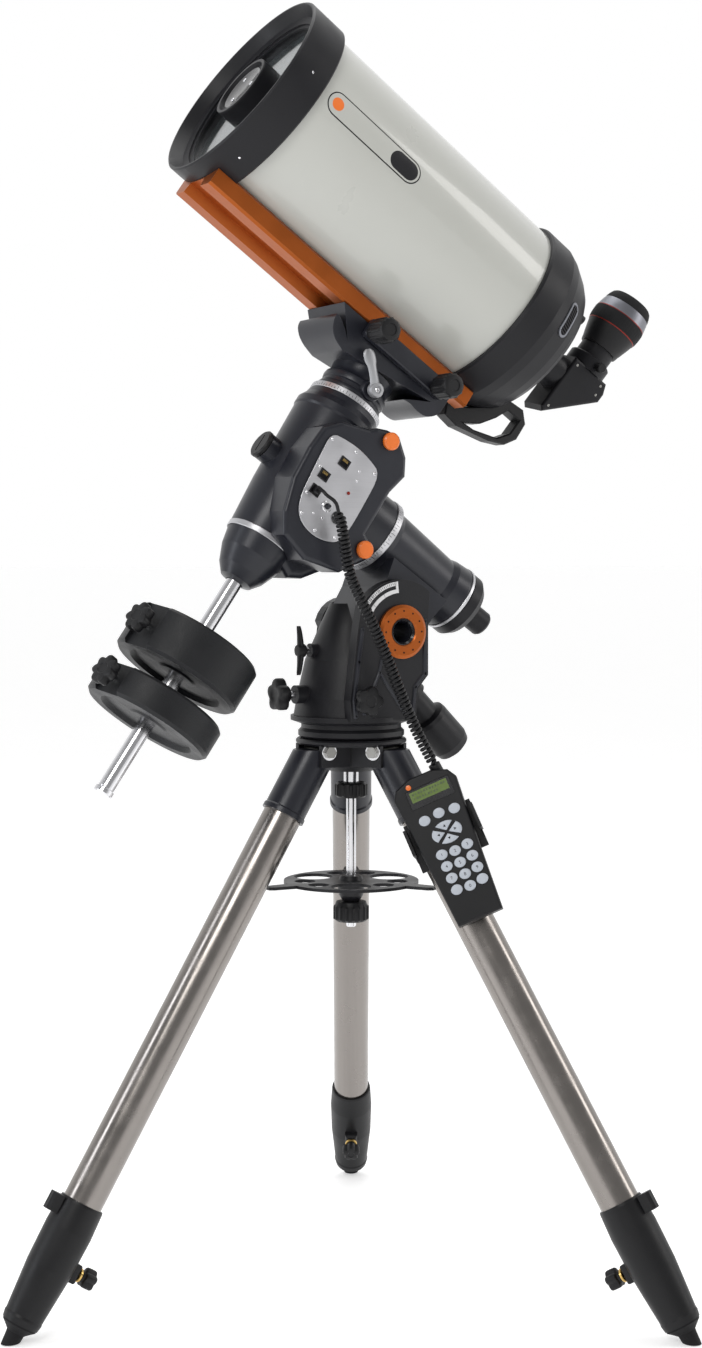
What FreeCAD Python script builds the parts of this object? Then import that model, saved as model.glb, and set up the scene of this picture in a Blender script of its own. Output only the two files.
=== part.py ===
import FreeCAD, Part
import Sketcher
import math
import os

from FreeCAD import Placement, Rotation, Vector

# Schmidt-Cassegrain telescope on a German equatorial mount and a three-legged field tripod.
# Frame: millimetres, +Z up, origin on the floor below the tripod's vertical axis.
# The polar axis lies in the XZ plane and points to -X and up.

doc = FreeCAD.newDocument("telescope")
sheet = doc.addObject("Spreadsheet::Sheet", "Sizes")

SIZES = {
    # tripod
    "hub_radius": 73, "hub_top": 711,
    "leg_tilt": 31.25, "leg_pivot_out": 53, "leg_pivot_up": 696,
    "leg_tube_radius": 25.4, "leg_tube_wall": 1.6, "sleeve_radius": 27.5,
    "sleeve_end": 96, "boot_start": 633, "boot_end": 790, "foot_end": 824,
    "extension_radius": 22.2, "extension_start": 380,
    "rod_radius": 9.75, "thread_radius": 6.5, "rod_bottom": 461.5,
    "tray_level": 523, "tray_radius": 89, "tray_reach": 125, "tray_knob_radius": 24.5,
    # equatorial head
    "latitude": 35, "polar_drop": -5, "ring_radius": 35, "cheek_out": 78, "cheek_thick": 17,
    "polar_radius": 46, "polar_waist": 41, "polar_start": 138, "polar_end": 278,
    "dec_low_radius": 46.5, "dec_top_radius": 57, "dec_top": 86,
    "shaft_radius": 11, "shaft_bottom": -492, "shaft_top": -150,
    "weight_radius": 86.5, "low_weight_bottom": -390, "low_weight_tall": 41,
    "top_weight_bottom": -321, "top_weight_tall": 60, "fit_gap": 0.06,
    # optical tube
    "tube_offset": 352.5, "rim_ahead": 359, "cell_radius": 138, "cell_length": 55,
    "tube_radius": 129, "tube_wall": 2, "tube_start": 40, "tube_end": 470,
    "rear_radius": 135.5, "rear_start": 450, "rear_end": 550, "aperture_radius": 117,
    "holder_radius": 44.5, "mirror_radius": 120, "bar_half": 50,
    # handset and cord
    "handset_top": 43, "handset_bottom": 30, "handset_thick": 27,
    "coil_radius": 7.75, "lead_radius": 2.3,
}


class Dim:
    """A number together with the sheet expression that drives it."""

    def __init__(self, value, text):
        self.value = float(value)
        self.text = text

    def _join(self, other, sign, value):
        other = other if isinstance(other, Dim) else Dim(other, repr(float(other)))
        return Dim(value(self.value, other.value), "(%s %s %s)" % (self.text, sign, other.text))

    def __add__(self, other):
        return self._join(other, "+", lambda a, b: a + b)

    def __sub__(self, other):
        return self._join(other, "-", lambda a, b: a - b)

    def __mul__(self, other):
        return self._join(other, "*", lambda a, b: a * b)

    def __neg__(self):
        return self * -1


def fill_sheet():
    """Write every driving size into the sheet and hand back its dimensions by name."""
    dims = {}
    for row, (alias, value) in enumerate(SIZES.items(), start=1):
        sheet.set("A%d" % row, alias)
        sheet.set("B%d" % row, str(value))
        sheet.setAlias("B%d" % row, alias)
        dims[alias] = Dim(value, "Sizes.%s" % alias)
    doc.recompute()
    return dims


S = fill_sheet()


def num(size):
    return size.value if isinstance(size, Dim) else float(size)


def bind(target, prop, size):
    """Give a property its value and, for a sheet size, its expression."""
    setattr(target, prop, num(size))
    if isinstance(size, Dim):
        target.setExpression(prop, size.text)


def pin_vertex(sketch, geo, pos, along_x, size):
    """Hold one coordinate of a sketch vertex at a size measured from the origin."""
    if abs(num(size)) < 1e-9:
        sketch.addConstraint(Sketcher.Constraint("PointOnObject", geo, pos, -2 if along_x else -1))
        return
    kind = "DistanceX" if along_x else "DistanceY"
    index = sketch.addConstraint(Sketcher.Constraint(kind, -1, 1, geo, pos, num(size)))
    if isinstance(size, Dim):
        sketch.setExpression("Constraints[%d]" % index, size.text)


def draw_polygon(sketch, points):
    first = sketch.GeometryCount
    count = len(points)
    for i in range(count):
        a, b = points[i], points[(i + 1) % count]
        start, end = Vector(num(a[0]), num(a[1]), 0), Vector(num(b[0]), num(b[1]), 0)
        sketch.addGeometry(Part.LineSegment(start, end), False)
    for i in range(count):
        following = first + (i + 1) % count
        sketch.addConstraint(Sketcher.Constraint("Coincident", first + i, 2, following, 1))
        pin_vertex(sketch, first + i, 1, True, points[i][0])
        pin_vertex(sketch, first + i, 1, False, points[i][1])


def draw_circle(sketch, x, y, radius):
    centre = Vector(num(x), num(y), 0)
    geo = sketch.addGeometry(Part.Circle(centre, Vector(0, 0, 1), num(radius)), False)
    pin_vertex(sketch, geo, 3, True, x)
    pin_vertex(sketch, geo, 3, False, y)
    index = sketch.addConstraint(Sketcher.Constraint("Radius", geo, num(radius)))
    if isinstance(radius, Dim):
        sketch.setExpression("Constraints[%d]" % index, radius.text)


class Piece:
    """A PartDesign body that is built feature by feature."""

    def __init__(self, name):
        self.name = name
        self.body = doc.addObject("PartDesign::Body", name)
        self.body.Label = name

    def sketch(self, plane, loops, lift=0):
        sketch = self.body.newObject("Sketcher::SketchObject", self.name + "_sketch")
        role = plane + "_Plane"
        support = [f for f in self.body.Origin.OriginFeatures if f.Role == role][0]
        sketch.AttachmentSupport = [(support, "")]
        sketch.MapMode = "FlatFace"
        sketch.AttachmentOffset = Placement(Vector(0, 0, num(lift)), Rotation())
        if isinstance(lift, Dim):
            sketch.setExpression("AttachmentOffset.Base.z", lift.text)
        for loop in loops:
            if loop[0] == "circle":
                draw_circle(sketch, *loop[1:])
            else:
                draw_polygon(sketch, loop)
        return sketch

    def feature(self, kind, sketch):
        feature = self.body.newObject("PartDesign::" + kind, self.name + "_" + kind.lower())
        feature.Profile = sketch
        sketch.Visibility = False
        return feature

    def turn(self, points, cut=False):
        """Revolve a profile of (radius, height) points about the local Z axis."""
        sketch = self.sketch("XZ", [points])
        feature = self.feature("Groove" if cut else "Revolution", sketch)
        feature.ReferenceAxis = (sketch, ["V_Axis"])
        feature.Angle = 360
        self.body.Tip = feature
        return feature

    def pad(self, loops, length, plane="XY", lift=0, both=False, back=False):
        feature = self.feature("Pad", self.sketch(plane, loops, lift))
        bind(feature, "Length", length)
        feature.Midplane = both
        feature.Reversed = back
        self.body.Tip = feature
        return feature

    def pocket(self, loops, depth, plane="XY", lift=0, both=False, back=False):
        feature = self.feature("Pocket", self.sketch(plane, loops, lift))
        bind(feature, "Length", depth)
        feature.Midplane = both
        feature.Reversed = back
        self.body.Tip = feature
        return feature

    def around(self, feature, count):
        """Repeat a feature about the local Z axis."""
        pattern = self.body.newObject("PartDesign::PolarPattern", self.name + "_pattern")
        pattern.Originals = [feature]
        axis = [f for f in self.body.Origin.OriginFeatures if f.Role == "Z_Axis"][0]
        pattern.Axis = (axis, [""])
        pattern.Angle = 360
        pattern.Occurrences = count
        self.body.Tip = pattern
        return pattern

    def round(self, radius, wanted, kind="Fillet"):
        """Fillet or chamfer the edges that a test picks."""
        doc.recompute()
        base = self.body.Tip
        names = ["Edge%d" % (i + 1) for i, e in enumerate(base.Shape.Edges) if wanted(e)]
        if not names:
            raise RuntimeError("no edge to round on " + self.name)
        feature = self.body.newObject("PartDesign::" + kind, self.name + "_" + kind.lower())
        feature.Base = (base, names)
        if kind == "Fillet":
            feature.Radius = radius
        else:
            feature.Size = radius
        self.body.Tip = feature
        return feature




def circle(x, y, radius):
    return ("circle", x, y, radius)


def box_loop(x0, x1, y0, y1):
    return [(x0, y0), (x1, y0), (x1, y1), (x0, y1)]


def ring_profile(inner, outer, low, high, bevel=0.0):
    """A washer's cross-section with bevelled outer corners."""
    if not bevel:
        return [(inner, low), (outer, low), (outer, high), (inner, high)]
    return [(inner, low), (outer - bevel, low), (outer, low + bevel),
            (outer, high - bevel), (outer - bevel, high), (inner, high)]


def disc_profile(outer, low, high, bevel=1.0):
    return [(0, low), (outer - bevel, low), (outer, low + bevel),
            (outer, high - bevel), (outer - bevel, high), (0, high)]


PARTS = []


def keep(thing, place):
    """Enter a finished sub-part with its place in the row frame."""
    body = thing.body if isinstance(thing, Piece) else thing
    body.Placement = place
    PARTS.append(body)
    return body


def combine(name, kind, first, second):
    """A Part boolean of two document objects."""
    first = first.body if isinstance(first, Piece) else first
    second = second.body if isinstance(second, Piece) else second
    result = doc.addObject("Part::" + kind, name)
    result.Base, result.Tool = first, second
    result.Label = name
    return result


def union(name, things):
    result = doc.addObject("Part::MultiFuse", name)
    result.Shapes = [t.body if isinstance(t, Piece) else t for t in things]
    result.Label = name
    return result


def cylinder(name, radius, length, place=Placement()):
    solid = doc.addObject("Part::Cylinder", name)
    bind(solid, "Radius", radius)
    bind(solid, "Height", length)
    solid.Placement = place
    return solid


def cuboid(name, centre, size):
    solid = doc.addObject("Part::Box", name)
    solid.Length, solid.Width, solid.Height = size
    corner = Vector(*centre) - Vector(*size) * 0.5
    solid.Placement = Placement(corner, Rotation())
    return solid


def tilt(angle, axis=(0, 1, 0), at=(0, 0, 0)):
    return Placement(Vector(*at), Rotation(Vector(*axis), angle))


def aim(at, direction, across=(0, 1, 0)):
    """A placement whose local Z points along a direction."""
    z = Vector(*direction).normalize()
    y = Vector(*across)
    y = (y - z * y.dot(z)).normalize()
    x = y.cross(z)
    matrix = FreeCAD.Matrix(x.x, y.x, z.x, at[0], x.y, y.y, z.y, at[1], x.z, y.z, z.z, at[2], 0, 0, 0, 1)
    return Placement(matrix)


# Frames of the equatorial head. In HEAD, local Z is the declination axis and local X runs
# backwards, parallel to the polar axis, which crosses the declination axis at height polar_drop.
HEAD = Placement(Vector(-72.9, 0, 1058.5), Rotation(Vector(0, 1, 0), SIZES["latitude"]))
POLAR = HEAD * tilt(90, at=(0, 0, SIZES["polar_drop"]))
TUBE = HEAD * tilt(90, at=(-SIZES["rim_ahead"], 0, SIZES["tube_offset"]))
ALTITUDE_PIVOT = Vector(30, 0, 852)


def leg_place(azimuth):
    """Frame of a leg: origin on its hinge pin, Z down the leg, X inwards and down, Y across."""
    a, lean = math.radians(azimuth), math.radians(SIZES["leg_tilt"])
    out = SIZES["leg_pivot_out"]
    start = (out * math.cos(a), out * math.sin(a), SIZES["leg_pivot_up"])
    down = (math.sin(lean) * math.cos(a), math.sin(lean) * math.sin(a), -math.cos(lean))
    return aim(start, down, (-math.sin(a), math.cos(a), 0))


LEGS = {"north": 180, "front": -60, "back": 60}


def star_knob(name, radius, thick, stem, place, lobes=7, stem_radius=5):
    """A lobed hand knob with a threaded stem that points along local -Z."""
    knob = Piece(name)
    knob.turn([(0, -stem), (stem_radius, -stem), (stem_radius, -7), (radius * 0.45, -5),
               (radius * 0.6, 0), (radius * 0.8, 1.5), (radius * 0.8, thick - 2),
               (radius * 0.7, thick), (radius * 0.3, thick + 1), (0, thick + 1)])
    lobe = knob.pad([circle(radius * 0.76, 0, radius * 0.24)], thick - 2, lift=1)
    knob.around(lobe, lobes)
    return keep(knob, place)


def make_hub():
    ears = []
    hub = Piece("hub_core")
    hub.turn([(S["rod_radius"] + 0.05, 668), (30, 668), (36, 674), (36, 703),
              (S["hub_radius"] - 4, 703), (S["hub_radius"], 706), (S["hub_radius"], 709),
              (S["hub_radius"] - 2, S["hub_top"]), (S["rod_radius"] + 0.05, S["hub_top"])])
    for azimuth in LEGS.values():
        for side in (-1, 1):
            ear = cuboid("ear", (43, side * 31.5, 690), (42, 7, 28))
            ear.Placement = tilt(azimuth, (0, 0, 1)) * ear.Placement
            ears.append(ear)
    solid = union("hub_solid", [hub] + ears)
    drills = []
    for azimuth in LEGS.values():
        turn = tilt(azimuth, (0, 0, 1))
        pin = Placement(Vector(SIZES["leg_pivot_out"], -45, SIZES["leg_pivot_up"]), Rotation(Vector(1, 0, 0), -90))
        drills.append(cylinder("pin_bore", 5.05, 90, turn * pin))
    keep(combine("tripod_hub", "Cut", solid, union("hub_bores", drills)), Placement())


def make_bolts():
    """One pivot bolt for each leg, all alike."""
    bolts = []
    for azimuth in LEGS.values():
        turn = tilt(azimuth, (0, 0, 1))
        at = Vector(SIZES["leg_pivot_out"], -35.1, SIZES["leg_pivot_up"])
        base = turn * Placement(at, Rotation(Vector(1, 0, 0), -90))
        shank = cylinder("bolt_shank", 5, 70.2, base)
        for lift in (-6, 70.2):
            head = doc.addObject("Part::Prism", "bolt_head")
            head.Polygon, head.Circumradius, head.Height = 6, 8, 6
            head.Placement = base * Placement(Vector(0, 0, lift), Rotation())
            bolts.append(head)
        bolts.append(shank)
    keep(union("leg_pivot_bolts", bolts), Placement())


def make_centre_rod():
    rod = Piece("centre_rod")
    rod.turn([(0, S["rod_bottom"]), (5.5, S["rod_bottom"]), (S["thread_radius"], S["rod_bottom"] + 1.5),
              (S["thread_radius"], 652.3), (S["rod_radius"], 652.3), (S["rod_radius"], S["hub_top"]),
              (0, S["hub_top"])])
    keep(rod, Placement())
    knob = Piece("rod_knob")
    knob.turn(ring_profile(S["thread_radius"] + S["fit_gap"], 20, 632, 652, 2))
    grip = knob.pad([circle(19, 0, 3)], 16, lift=634)
    knob.around(grip, 12)
    keep(knob, Placement())


def make_tray():
    tray = Piece("spreader_tray")
    bore = S["thread_radius"] + S["fit_gap"]
    tray.turn([(bore, 495), (11, 495), (16, 503), (19, 519), (S["tray_radius"], 519),
               (S["tray_radius"], S["tray_level"]), (16, S["tray_level"]), (14, 529), (bore, 529)])
    reach = S["tray_reach"]
    arm = tray.pad([[(60, -13), (reach - 6, -9), (reach, -5), (reach, 5), (reach - 6, 9), (60, 13)]], 4, lift=519)
    tray.around(arm, 3)
    wide = tray.pocket([circle(-58, 0, 26)], 20, lift=530)
    tray.around(wide, 3)
    narrow = tray.pocket([circle(59.1, 18.6, 14)], 20, lift=530)
    tray.around(narrow, 3)
    second = tray.pocket([circle(59.1, -18.6, 14)], 20, lift=530)
    tray.around(second, 3)
    keep(tray, tilt(180, (0, 0, 1)))
    knob = Piece("tray_knob")
    knob.turn(ring_profile(S["thread_radius"] + S["fit_gap"], S["tray_knob_radius"] - 2, 469, 494.7, 3))
    grip = knob.pad([circle(S["tray_knob_radius"] - 3, 0, 3)], 18, lift=471)
    knob.around(grip, 16)
    keep(knob, Placement())


def make_leg(name, azimuth):
    place = leg_place(azimuth)
    tube_r, sleeve_r, bore = S["leg_tube_radius"], S["sleeve_radius"], S["leg_tube_radius"] + 0.05
    sleeve = Piece("sleeve_%s_solid" % name)
    sleeve.turn([(0, -34), (sleeve_r, -34), (sleeve_r, S["sleeve_end"] - 8), (sleeve_r + 1.5, S["sleeve_end"] - 6),
                 (sleeve_r + 1.5, S["sleeve_end"]), (bore, S["sleeve_end"]), (bore, 22), (0, 22)])
    sleeve.pocket([circle(0, 0, 5.06)], 80, plane="XZ", both=True)
    # the top is cut level, and the inner side is relieved where the leg swings against the hub
    lean = SIZES["leg_tilt"]
    top = cuboid("sleeve_top", (60, 0, 52), (200, 90, 100))
    top.Placement = place.inverse() * tilt(azimuth, (0, 0, 1), (0, 0, 696)) * top.Placement
    inner = cuboid("sleeve_inner", (0, 0, 0), (82, 90, 90))
    inner.Placement = place.inverse() * tilt(azimuth, (0, 0, 1), (0, 0, 696)) * inner.Placement
    relief = union("sleeve_%s_relief" % name, [top, inner])
    keep(combine("leg_sleeve_%s" % name, "Cut", sleeve, relief), place)
    tube = Piece("leg_tube_%s" % name)
    tube.turn(ring_profile(tube_r - S["leg_tube_wall"], tube_r, 24, S["boot_start"] + 40))
    keep(tube, place)
    boot = Piece("leg_boot_%s" % name)
    start, slide = S["boot_start"], S["extension_radius"] + S["fit_gap"]
    boot.turn([(bore, start), (28, start), (28.7, start + 3), (30.5, start + 35), (29.5, start + 85),
               (24.4, start + 146), (25, start + 149), (24.6, S["boot_end"] - 6), (23.4, S["boot_end"]),
               (slide, S["boot_end"]), (slide, start + 40.5), (bore, start + 40.5)])
    boot.pad([[(28, -9), (39, -9), (39, 9), (28, 9)]], 24, lift=start + 66)
    boot.pad([[(-29, -9), (-41, -8), (-44, -4), (-44, 4), (-41, 8), (-29, 9)]], 22, lift=start + 2)
    boot.round(5, lambda e: abs(e.BoundBox.XLength) < 1e-6 and e.CenterOfMass.x > 38)
    boot.pocket([circle(0, start + 78, 4.06)], 60, plane="YZ", back=True)
    keep(boot, place)
    rod = Piece("extension_%s_solid" % name)
    inner_r = S["extension_radius"] - 1.5
    rod.turn([(0, 780), (inner_r, 780), (inner_r, S["extension_start"]), (S["extension_radius"], S["extension_start"]),
              (S["extension_radius"], 792), (16, 797), (11.5, 801), (9.5, S["foot_end"]), (0, S["foot_end"])])
    floor = cuboid("floor_%s" % name, (0, 0, -50), (400, 400, 100))
    floor.Placement = place.inverse() * tilt(azimuth, (0, 0, 1)) * Placement(Vector(476, 0, -50), Rotation())
    floor.Placement = floor.Placement * Placement(Vector(-200, -200, -50), Rotation())
    keep(combine("leg_extension_%s" % name, "Cut", rod, floor), place)
    screw = place * Placement(Vector(47, 0, num(start) + 78), Rotation(Vector(0, 1, 0), 90))
    star_knob("leg_lock_knob_%s" % name, 12, 16, 47 - SIZES["extension_radius"] - 0.4, screw, 5, 4)


def make_tripod():
    make_hub()
    make_bolts()
    make_centre_rod()
    make_tray()
    for name, azimuth in LEGS.items():
        make_leg(name, azimuth)


def arc_points(cx, cy, radius, start, end, count):
    angles = [math.radians(start + (end - start) * i / count) for i in range(count + 1)]
    return [(cx + radius * math.cos(a), cy + radius * math.sin(a)) for a in angles]


def make_base():
    """The azimuth base: a round foot, a raked front wall and two cheeks that carry the altitude axis."""
    foot = Piece("base_foot")
    foot.turn([(0, 711.3), (66, 711.3), (70, 715), (70, 721), (66, 725), (66, 730), (80, 735), (80, 741), (0, 741)])
    px, pz = ALTITUDE_PIVOT.x, ALTITUDE_PIVOT.z
    rear_edge = [(71, 868), (71, 795), (56, 778), (52, 738)]
    near_loop = [(-44, 738), (-46, 765), (-40, 815), (-34, 862)] + arc_points(px, pz, 68, 150, 50, 8) + rear_edge
    far_loop = [(-42, 738), (-38, 765), (-25, 814), (-6, 850)] + arc_points(px, pz, 43, 165, 50, 8) + rear_edge
    near, far = Piece("cheek_near"), Piece("cheek_far")
    inside = SIZES["cheek_out"] - SIZES["cheek_thick"]
    near.pad([near_loop], S["cheek_thick"], plane="XZ", lift=inside)
    far.pad([far_loop], S["cheek_thick"], plane="XZ", lift=inside)
    far.body.Placement = Placement(Vector(0, 2 * inside + SIZES["cheek_thick"], 0), Rotation())
    front = Piece("front_shell")
    front.turn([(60, 738), (76, 738), (76, 742), (72, 765), (61, 814), (41, 860), (28, 888), (18, 884), (30, 855),
                (49, 808), (60, 762)])
    front = combine("front_wall", "Common", front, cuboid("front_half", (-58, 0, 815), (80, 150, 170)))
    rear = Piece("rear_wall")
    rear.pad([[(40, 738), (60, 738), (60, 762), (52, 770), (40, 770)]], 122.4, plane="XZ", both=True)
    post = cylinder("north_post", 12, 30, aim((-55, 0, 770), (-1, 0, 0)))
    near_post = cylinder("near_post", 11, 22, aim((-30, -61, 765), (0, -1, 0), (0, 0, 1)))
    lever_post = cylinder("lever_post", 9, 18, aim((-45, 0, 827), (-1, 0, 0)))
    socket = cylinder("handle_socket", 24, 46, aim((58, 0, 794), (1, 0, -1)))
    solid = union("base_solid", [foot, near, far, front, rear, post, near_post, lever_post, socket])
    bores = [cylinder("altitude_bore", 28.06, 220, aim((px, 110, pz), (0, -1, 0), (0, 0, 1))),
             cylinder("north_bore", 5.06, 60, aim((-40, 0, 770), (-1, 0, 0))),
             cylinder("near_bore", 5.06, 40, aim((-30, -52, 765), (0, -1, 0), (0, 0, 1))),
             cylinder("handle_bore", 8.06, 120, aim((28, 0, 824), (1, 0, -1))),
             cylinder("lever_bore", 5.06, 60, aim((-20, 0, 827), (-1, 0, 0)))]
    casting = combine("base_bored", "Cut", solid, union("base_bores", bores))
    scale = Piece("latitude_scale")
    loop = arc_points(px, pz, 66, 95, 150, 8) + arc_points(px, pz, 50, 150, 95, 8)
    scale.pad([loop], 1.5, plane="XZ", lift=SIZES["cheek_out"])
    keep(union("base_casting", [casting, scale]), Placement())


def make_base_fittings():
    star_knob("azimuth_knob_north", 21, 15, 44, aim((-100, 0, 770), (-1, 0, 0)), 6, 5)
    star_knob("azimuth_knob_near", 19, 12, 22, aim((-30, -92, 765), (0, -1, 0), (0, 0, 1)), 6, 5)
    lever = Piece("altitude_lock_lever")
    lever.turn([(0, -42), (5, -42), (5, 0), (6.5, 2), (6.5, 10), (0, 10)])
    lever.pad([[(-32, -3), (-27, -5), (-8, -8), (8, -8), (27, -5), (32, -3), (32, 3), (27, 5), (8, 8), (-8, 8),
                (-27, 5), (-32, 3)]], 8, lift=9)
    keep(lever, aim((-66, 0, 827), (-1, 0, 0)))
    handle = Piece("altitude_handle")
    handle.turn([(0, -70), (8, -70), (8, 0), (19, 0.5), (19, 34), (26, 38), (27, 44), (27, 88), (24, 98), (15, 103), (0, 103)])
    keep(handle, aim((90.6, 0, 761.4), (1, 0, -1)))


def make_polar_housing():
    """The tube round the polar axis with the lug that swings between the base's cheeks."""
    tube = Piece("polar_tube")
    tube.turn([(28, S["polar_start"]), (50, S["polar_start"]), (S["polar_radius"], S["polar_start"] + 10),
               (S["polar_waist"], 246), (S["polar_radius"] - 2, 256), (S["polar_radius"], S["polar_end"] - 2),
               (S["polar_radius"], S["polar_end"]), (28, S["polar_end"])])
    tube.body.Placement = tilt(90, at=(0, 0, SIZES["polar_drop"]))
    back = HEAD.inverse()
    pivot = back.multVec(ALTITUDE_PIVOT)
    lug = Piece("polar_lug")
    lug.pad([[(150, -30), (160, -70), (pivot.x - 40, pivot.z + 8), (pivot.x - 36, pivot.z - 24),
              (pivot.x - 12, pivot.z - 42), (pivot.x + 20, pivot.z - 38), (pivot.x + 42, pivot.z - 8),
              (pivot.x + 40, pivot.z + 20), (244, -60), (250, -30)]], 112, plane="XZ", both=True)
    boss = cylinder("altitude_boss", 28, 2 * SIZES["cheek_out"],
                    aim((pivot.x, SIZES["cheek_out"], pivot.z), (0, -1, 0), (0, 0, 1)))
    solid = union("polar_solid", [tube, lug, boss])
    hollow = cylinder("polar_hollow", 28, 150, tilt(90, at=(131, 0, SIZES["polar_drop"])))
    eye = cylinder("altitude_eye", 14, 200, aim((pivot.x, 100, pivot.z), (0, -1, 0), (0, 0, 1)))
    housing = combine("polar_bored", "Cut", solid, union("polar_bores", [hollow, eye]))
    silver = Piece("setting_ring")
    silver.turn(ring_profile(28, 53, 128.3, S["polar_start"], 0.8))
    thin = Piece("rear_ring")
    thin.turn(ring_profile(28, 47, S["polar_end"], S["polar_end"] + 4.5, 0.5))
    for ring in (silver, thin):
        ring.body.Placement = tilt(90, at=(0, 0, SIZES["polar_drop"]))
    keep(union("polar_housing", [housing, silver, thin]), HEAD)
    rings = []
    for side in (-1, 1):
        ring = Piece("altitude_ring_%s" % ("near" if side < 0 else "far"))
        ring.turn([(15, 0), (S["ring_radius"], 0), (S["ring_radius"], 4), (S["ring_radius"] - 4, 6.5), (19, 6.5), (15, 3)])
        start = (ALTITUDE_PIVOT.x, side * (SIZES["cheek_out"] + 0.35), ALTITUDE_PIVOT.z)
        ring.body.Placement = aim(start, (0, side, 0), (0, 0, 1))
        rings.append(ring)
    keep(union("altitude_rings", rings), Placement())
    scope = Piece("polar_scope")
    low = S["polar_end"] + 4.6
    scope.turn([(0, 150), (14, 150), (14, low), (45, low), (46, low + 2), (46, low + 16), (39, low + 25), (19, low + 26),
                (17.5, low + 29), (17.5, low + 60), (15.5, low + 63), (0, low + 63)])
    keep(scope, POLAR)


def make_dec_housing():
    """The declination housing, its rounded nose and the round head that turns on the polar axis."""
    body = Piece("dec_body")
    nose = [(12, -174), (22, -171), (32, -158), (41, -136), (S["dec_low_radius"] - 1, -113.5),
            (S["dec_low_radius"] - 1, -105.9), (S["dec_low_radius"], -105.9)]
    body.turn(nose + [(52, -40), (S["dec_top_radius"], 74), (58.5, 77), (58.5, S["dec_top"]), (53, 96), (51, 104.5),
                      (30, 104.5), (30, -110), (12, -120)])
    head = cylinder("polar_head", 52, 128, tilt(90, at=(0, 0, SIZES["polar_drop"])))
    axle = cylinder("polar_axle", 27.94, 266, tilt(90, at=(0, 0, SIZES["polar_drop"])))
    bore = cylinder("dec_bore", 30, 214.5, Placement(Vector(0, 0, -110), Rotation()))
    lobe = Piece("worm_cover")
    lobe.pad([[(14, -40), (14, -108), (24, -124), (47, -134), (66, -122), (88, -92), (92, -60), (92, -40)]],
             64, plane="XZ", both=True)
    lobe.round(9, lambda e: abs(e.BoundBox.YLength) < 1e-6 and e.CenterOfMass.z < -60)
    front = cylinder("cap_seat", 19, 22, tilt(-90, at=(-44, 0, SIZES["polar_drop"])))
    solid = union("dec_solid", [body, head, axle, lobe, front])
    sight = cylinder("sight_bore", 14.2, 400, tilt(90, at=(-90, 0, SIZES["polar_drop"])))
    housing = combine("dec_bored", "Cut", solid, union("dec_bores", [bore, sight]))
    low = Piece("dec_ring_low")
    low.turn(ring_profile(S["dec_low_radius"] - 1.5, S["dec_low_radius"] + 0.8, -113.3, -106.1, 0.4))
    high = Piece("dec_ring_high")
    high.turn(ring_profile(30, 51, 104.5, 112.5, 0.8))
    keep(union("dec_housing", [housing, low, high]), HEAD)
    cap = Piece("polar_front_cap")
    cap.turn([(0, 66.2), (18.5, 66.2), (19.5, 67.5), (19.5, 71), (17.5, 73), (0, 73)])
    slot = cap.pocket([box_loop(-12, 12, -1.2, 1.2)], 1.5, lift=73, back=False)
    keep(cap, HEAD * tilt(-90, at=(0, 0, SIZES["polar_drop"])))


PLATE = [(-31, 36), (12, 44), (57, 36), (61, -54), (55, -75), (20, -86), (-12, -78), (-22, -45), (-26, -9)]
PORTS = [(6, 16), (-9, -14), (-8, -37)]


def make_electronics():
    """The control panel's cover, saddled on the housing, with its plate, ports and caps."""
    cover = Piece("cover_solid")
    cover.pad([[(-45, 5), (-43, 38), (-24, 60), (14, 76), (22, 84), (36, 91), (55, 95), (79, 78), (92, 57), (85, 27),
                (86, -38), (102, -46), (106, -62), (97, -76), (83, -100), (31, -117), (-11, -108), (-28, -83),
                (-42, -40)]], 62, plane="XZ", lift=20)
    cover.round(6, lambda e: abs(e.BoundBox.YLength) < 1e-6 and e.CenterOfMass.y < -81)
    seats = [Piece("cover_seat")]
    seats[0].turn([(0, -113.8), (S["dec_low_radius"] + 1.2, -113.8), (52.3, -40), (57.4, 74), (58.9, 77), (58.9, 100), (0, 100)])
    seats.append(cylinder("head_seat", 52.3, 140, tilt(90, at=(0, 0, SIZES["polar_drop"]))))
    low_seat = Piece("cover_low_seat")
    low_seat.turn([(0, -180), (47.6, -180), (47.6, -113.7), (0, -113.7)])
    seats.append(low_seat)
    worm_seat = cuboid("worm_seat", (55, 0, -90), (82, 64.6, 100))
    seats.append(worm_seat)
    for x, z in PORTS:
        seats.append(cuboid("port_cut", (x, -80, z), (11.5, 18, 10)))
    hollowed = combine("cover_hollowed", "Cut", cover, union("cover_seats", seats))
    plate = Piece("panel_plate")
    plate.pad([PLATE], 2.5, plane="XZ", lift=82.1)
    for x, z in PORTS:
        plate.pocket([box_loop(x - 6, x + 6, z - 5.3, z + 5.3)], 6, plane="XZ", lift=81, back=True)
    plate.pocket([circle(17, -44, 4.1)], 6, plane="XZ", lift=81, back=True)
    keep(plate, HEAD)
    switch = Piece("panel_switch")
    switch.turn([(0, -2), (3.9, -2), (3.9, 5), (2.2, 6), (1.8, 11), (0, 11)])
    switch.body.Placement = aim((17, -82, -44), (0, -1, 0), (0, 0, 1))
    keep(union("electronics_cover", [hollowed, switch]), HEAD)
    caps = []
    for x, z in [(46, 80), (94, -57)]:
        cap = Piece("orange_cap")
        cap.turn([(0, 0.1), (10.5, 0.1), (11.5, 1), (11.5, 5), (9.5, 7), (0, 7)])
        cap.body.Placement = aim((x, -82, z), (0, -1, 0), (0, 0, 1))
        caps.append(cap)
    keep(union("orange_caps", caps), HEAD)


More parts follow.
